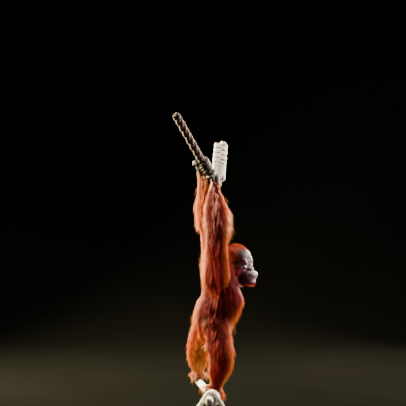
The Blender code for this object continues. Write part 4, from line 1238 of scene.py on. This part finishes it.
def finishCoat(pieces):
    made = Finish("coat", Roughness=0.50, Specular_IOR_Level=0.15, Subsurface_Weight=0.4,
                  Subsurface_Scale=0.004, Subsurface_Radius=(1.0, 0.40, 0.15))
    along = made.value("along")
    shade = made.value("shade")
    root = made.blend(shade, *tones["coatRoot"])
    middle = made.blend(shade, *tones["coatMiddle"])
    tip = made.blend(shade, *tones["coatTip"])
    tone = made.blend(along.step(0.05, 0.55), root, middle)
    tone = made.blend(along.step(0.50, 1.0), tone, tip)
    patches = made.noise(9.0, 2.0).step(0.35, 0.65)
    tone = made.blend(patches * 0.25, tone, tones["coatPatch"])
    # painted shade: the coat goes towards a dark red where shadeMap puts shade
    made.colour(made.blend(made.value("paintedShade").step(0.0, 0.80), tone, tones["coatPaintedShade"]))
    made.on(*pieces)


def finishRopes(dark, pale):
    # painted shade: the near half of the upper rope is coloured dark brown for the shade on it
    made = Finish("rope with painted shade", Roughness=0.85)
    fibres = made.noise(420.0, 5.0)
    made.colour(made.blend(fibres, *tones["shadePaintedRope"]))
    made.bump(fibres, 0.8, 0.0012)
    made.on(dark)
    made = Finish("pale rope", Roughness=0.80)
    fibres = made.noise(380.0, 5.0)
    grime = made.noise(22.0, 3.0).step(0.45, 0.75)
    made.colour(made.blend(grime * 0.45, made.blend(fibres, *tones["paleRope"]), tones["grime"]))
    made.bump(fibres, 0.8, 0.0014)
    made.on(*pale)


def finishStand():
    made = Finish("stand", Roughness=0.42, Metallic=0.0)
    made.colour(made.blend(made.noise(35.0, 2.0), *tones["stand"]))
    made.bump(made.noise(900.0, 2.0), 0.15, 0.0004)
    for name in ("stand_base", "stand_rod_front", "stand_rod_rear"):
        made.on(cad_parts[name])


# Light, floor and camera

def makeFloor():
    # a floor that runs up into the backdrop in one sweep
    bpy.ops.mesh.primitive_grid_add(x_subdivisions=2, y_subdivisions=80, size=1)
    floor = bpy.context.object
    floor.name = "floor"
    points = readPoints(floor)
    run = (points[:, 1] + 0.5) * studio["run"]
    turn = np.clip((run - studio["flat"]) / studio["bend"], 0, math.pi / 2)
    rise = np.maximum(run - studio["flat"] - studio["bend"] * math.pi / 2, 0)
    points[:, 0] *= studio["wide"]
    points[:, 1] = np.minimum(run, studio["flat"]) + studio["bend"] * np.sin(turn) - studio["near"]
    points[:, 2] = studio["bend"] * (1 - np.cos(turn)) + rise
    writePoints(floor, points)
    shaded(floor)
    made = Finish("floor", Roughness=0.9, Specular_IOR_Level=0.0)
    made.colour(made.blend(made.noise(1.5), *tones["floor"]))
    made.on(floor)


def makeLights():
    world = bpy.data.worlds.new("sky")
    bpy.context.scene.world = world
    world.use_nodes = True
    backdrop = world.node_tree.nodes["Background"]
    backdrop.inputs["Color"].default_value = studio["sky"]
    backdrop.inputs["Strength"].default_value = studio["skyStrength"]
    for name, (kind, spot, target, settings) in lamps.items():
        bpy.ops.object.light_add(type=kind, location=spot)
        made = bpy.context.object
        made.name = name
        made.rotation_euler = (Vector(target) - Vector(spot)).to_track_quat("-Z", "Y").to_euler()
        for key, value in settings.items():
            setattr(made.data, key, value)


def makeCamera():
    bpy.ops.object.camera_add(location=camera["place"], rotation=(math.pi / 2, 0, 0))
    made = bpy.context.object
    made.data.sensor_width = camera["sensor"]
    made.data.lens = camera["lens"]
    bpy.context.scene.camera = made


skin, nails = makeSkin()
limbs = ("upper_arm", "forearm", "hand", "thigh", "shin", "foot")
place(skin, "bare_skin", "head", "neck", "torso", "ear_right", "ear_left",
      *[kind + "_" + side for kind in limbs for side in sides])
place(nails, "nail")
eyes = makeEyes()
print("skin, nails and eyes made")
coatPieces = makeCoat(skin)
print("coat made")
shadePaintedRope, paleRopes = makeRopes()
print("ropes made")
finishSkin(skin)
finishEyes(eyes)
finishNails(nails)
finishCoat(coatPieces)
finishRopes(shadePaintedRope, paleRopes)
finishStand()
makeFloor()
makeLights()
makeCamera()
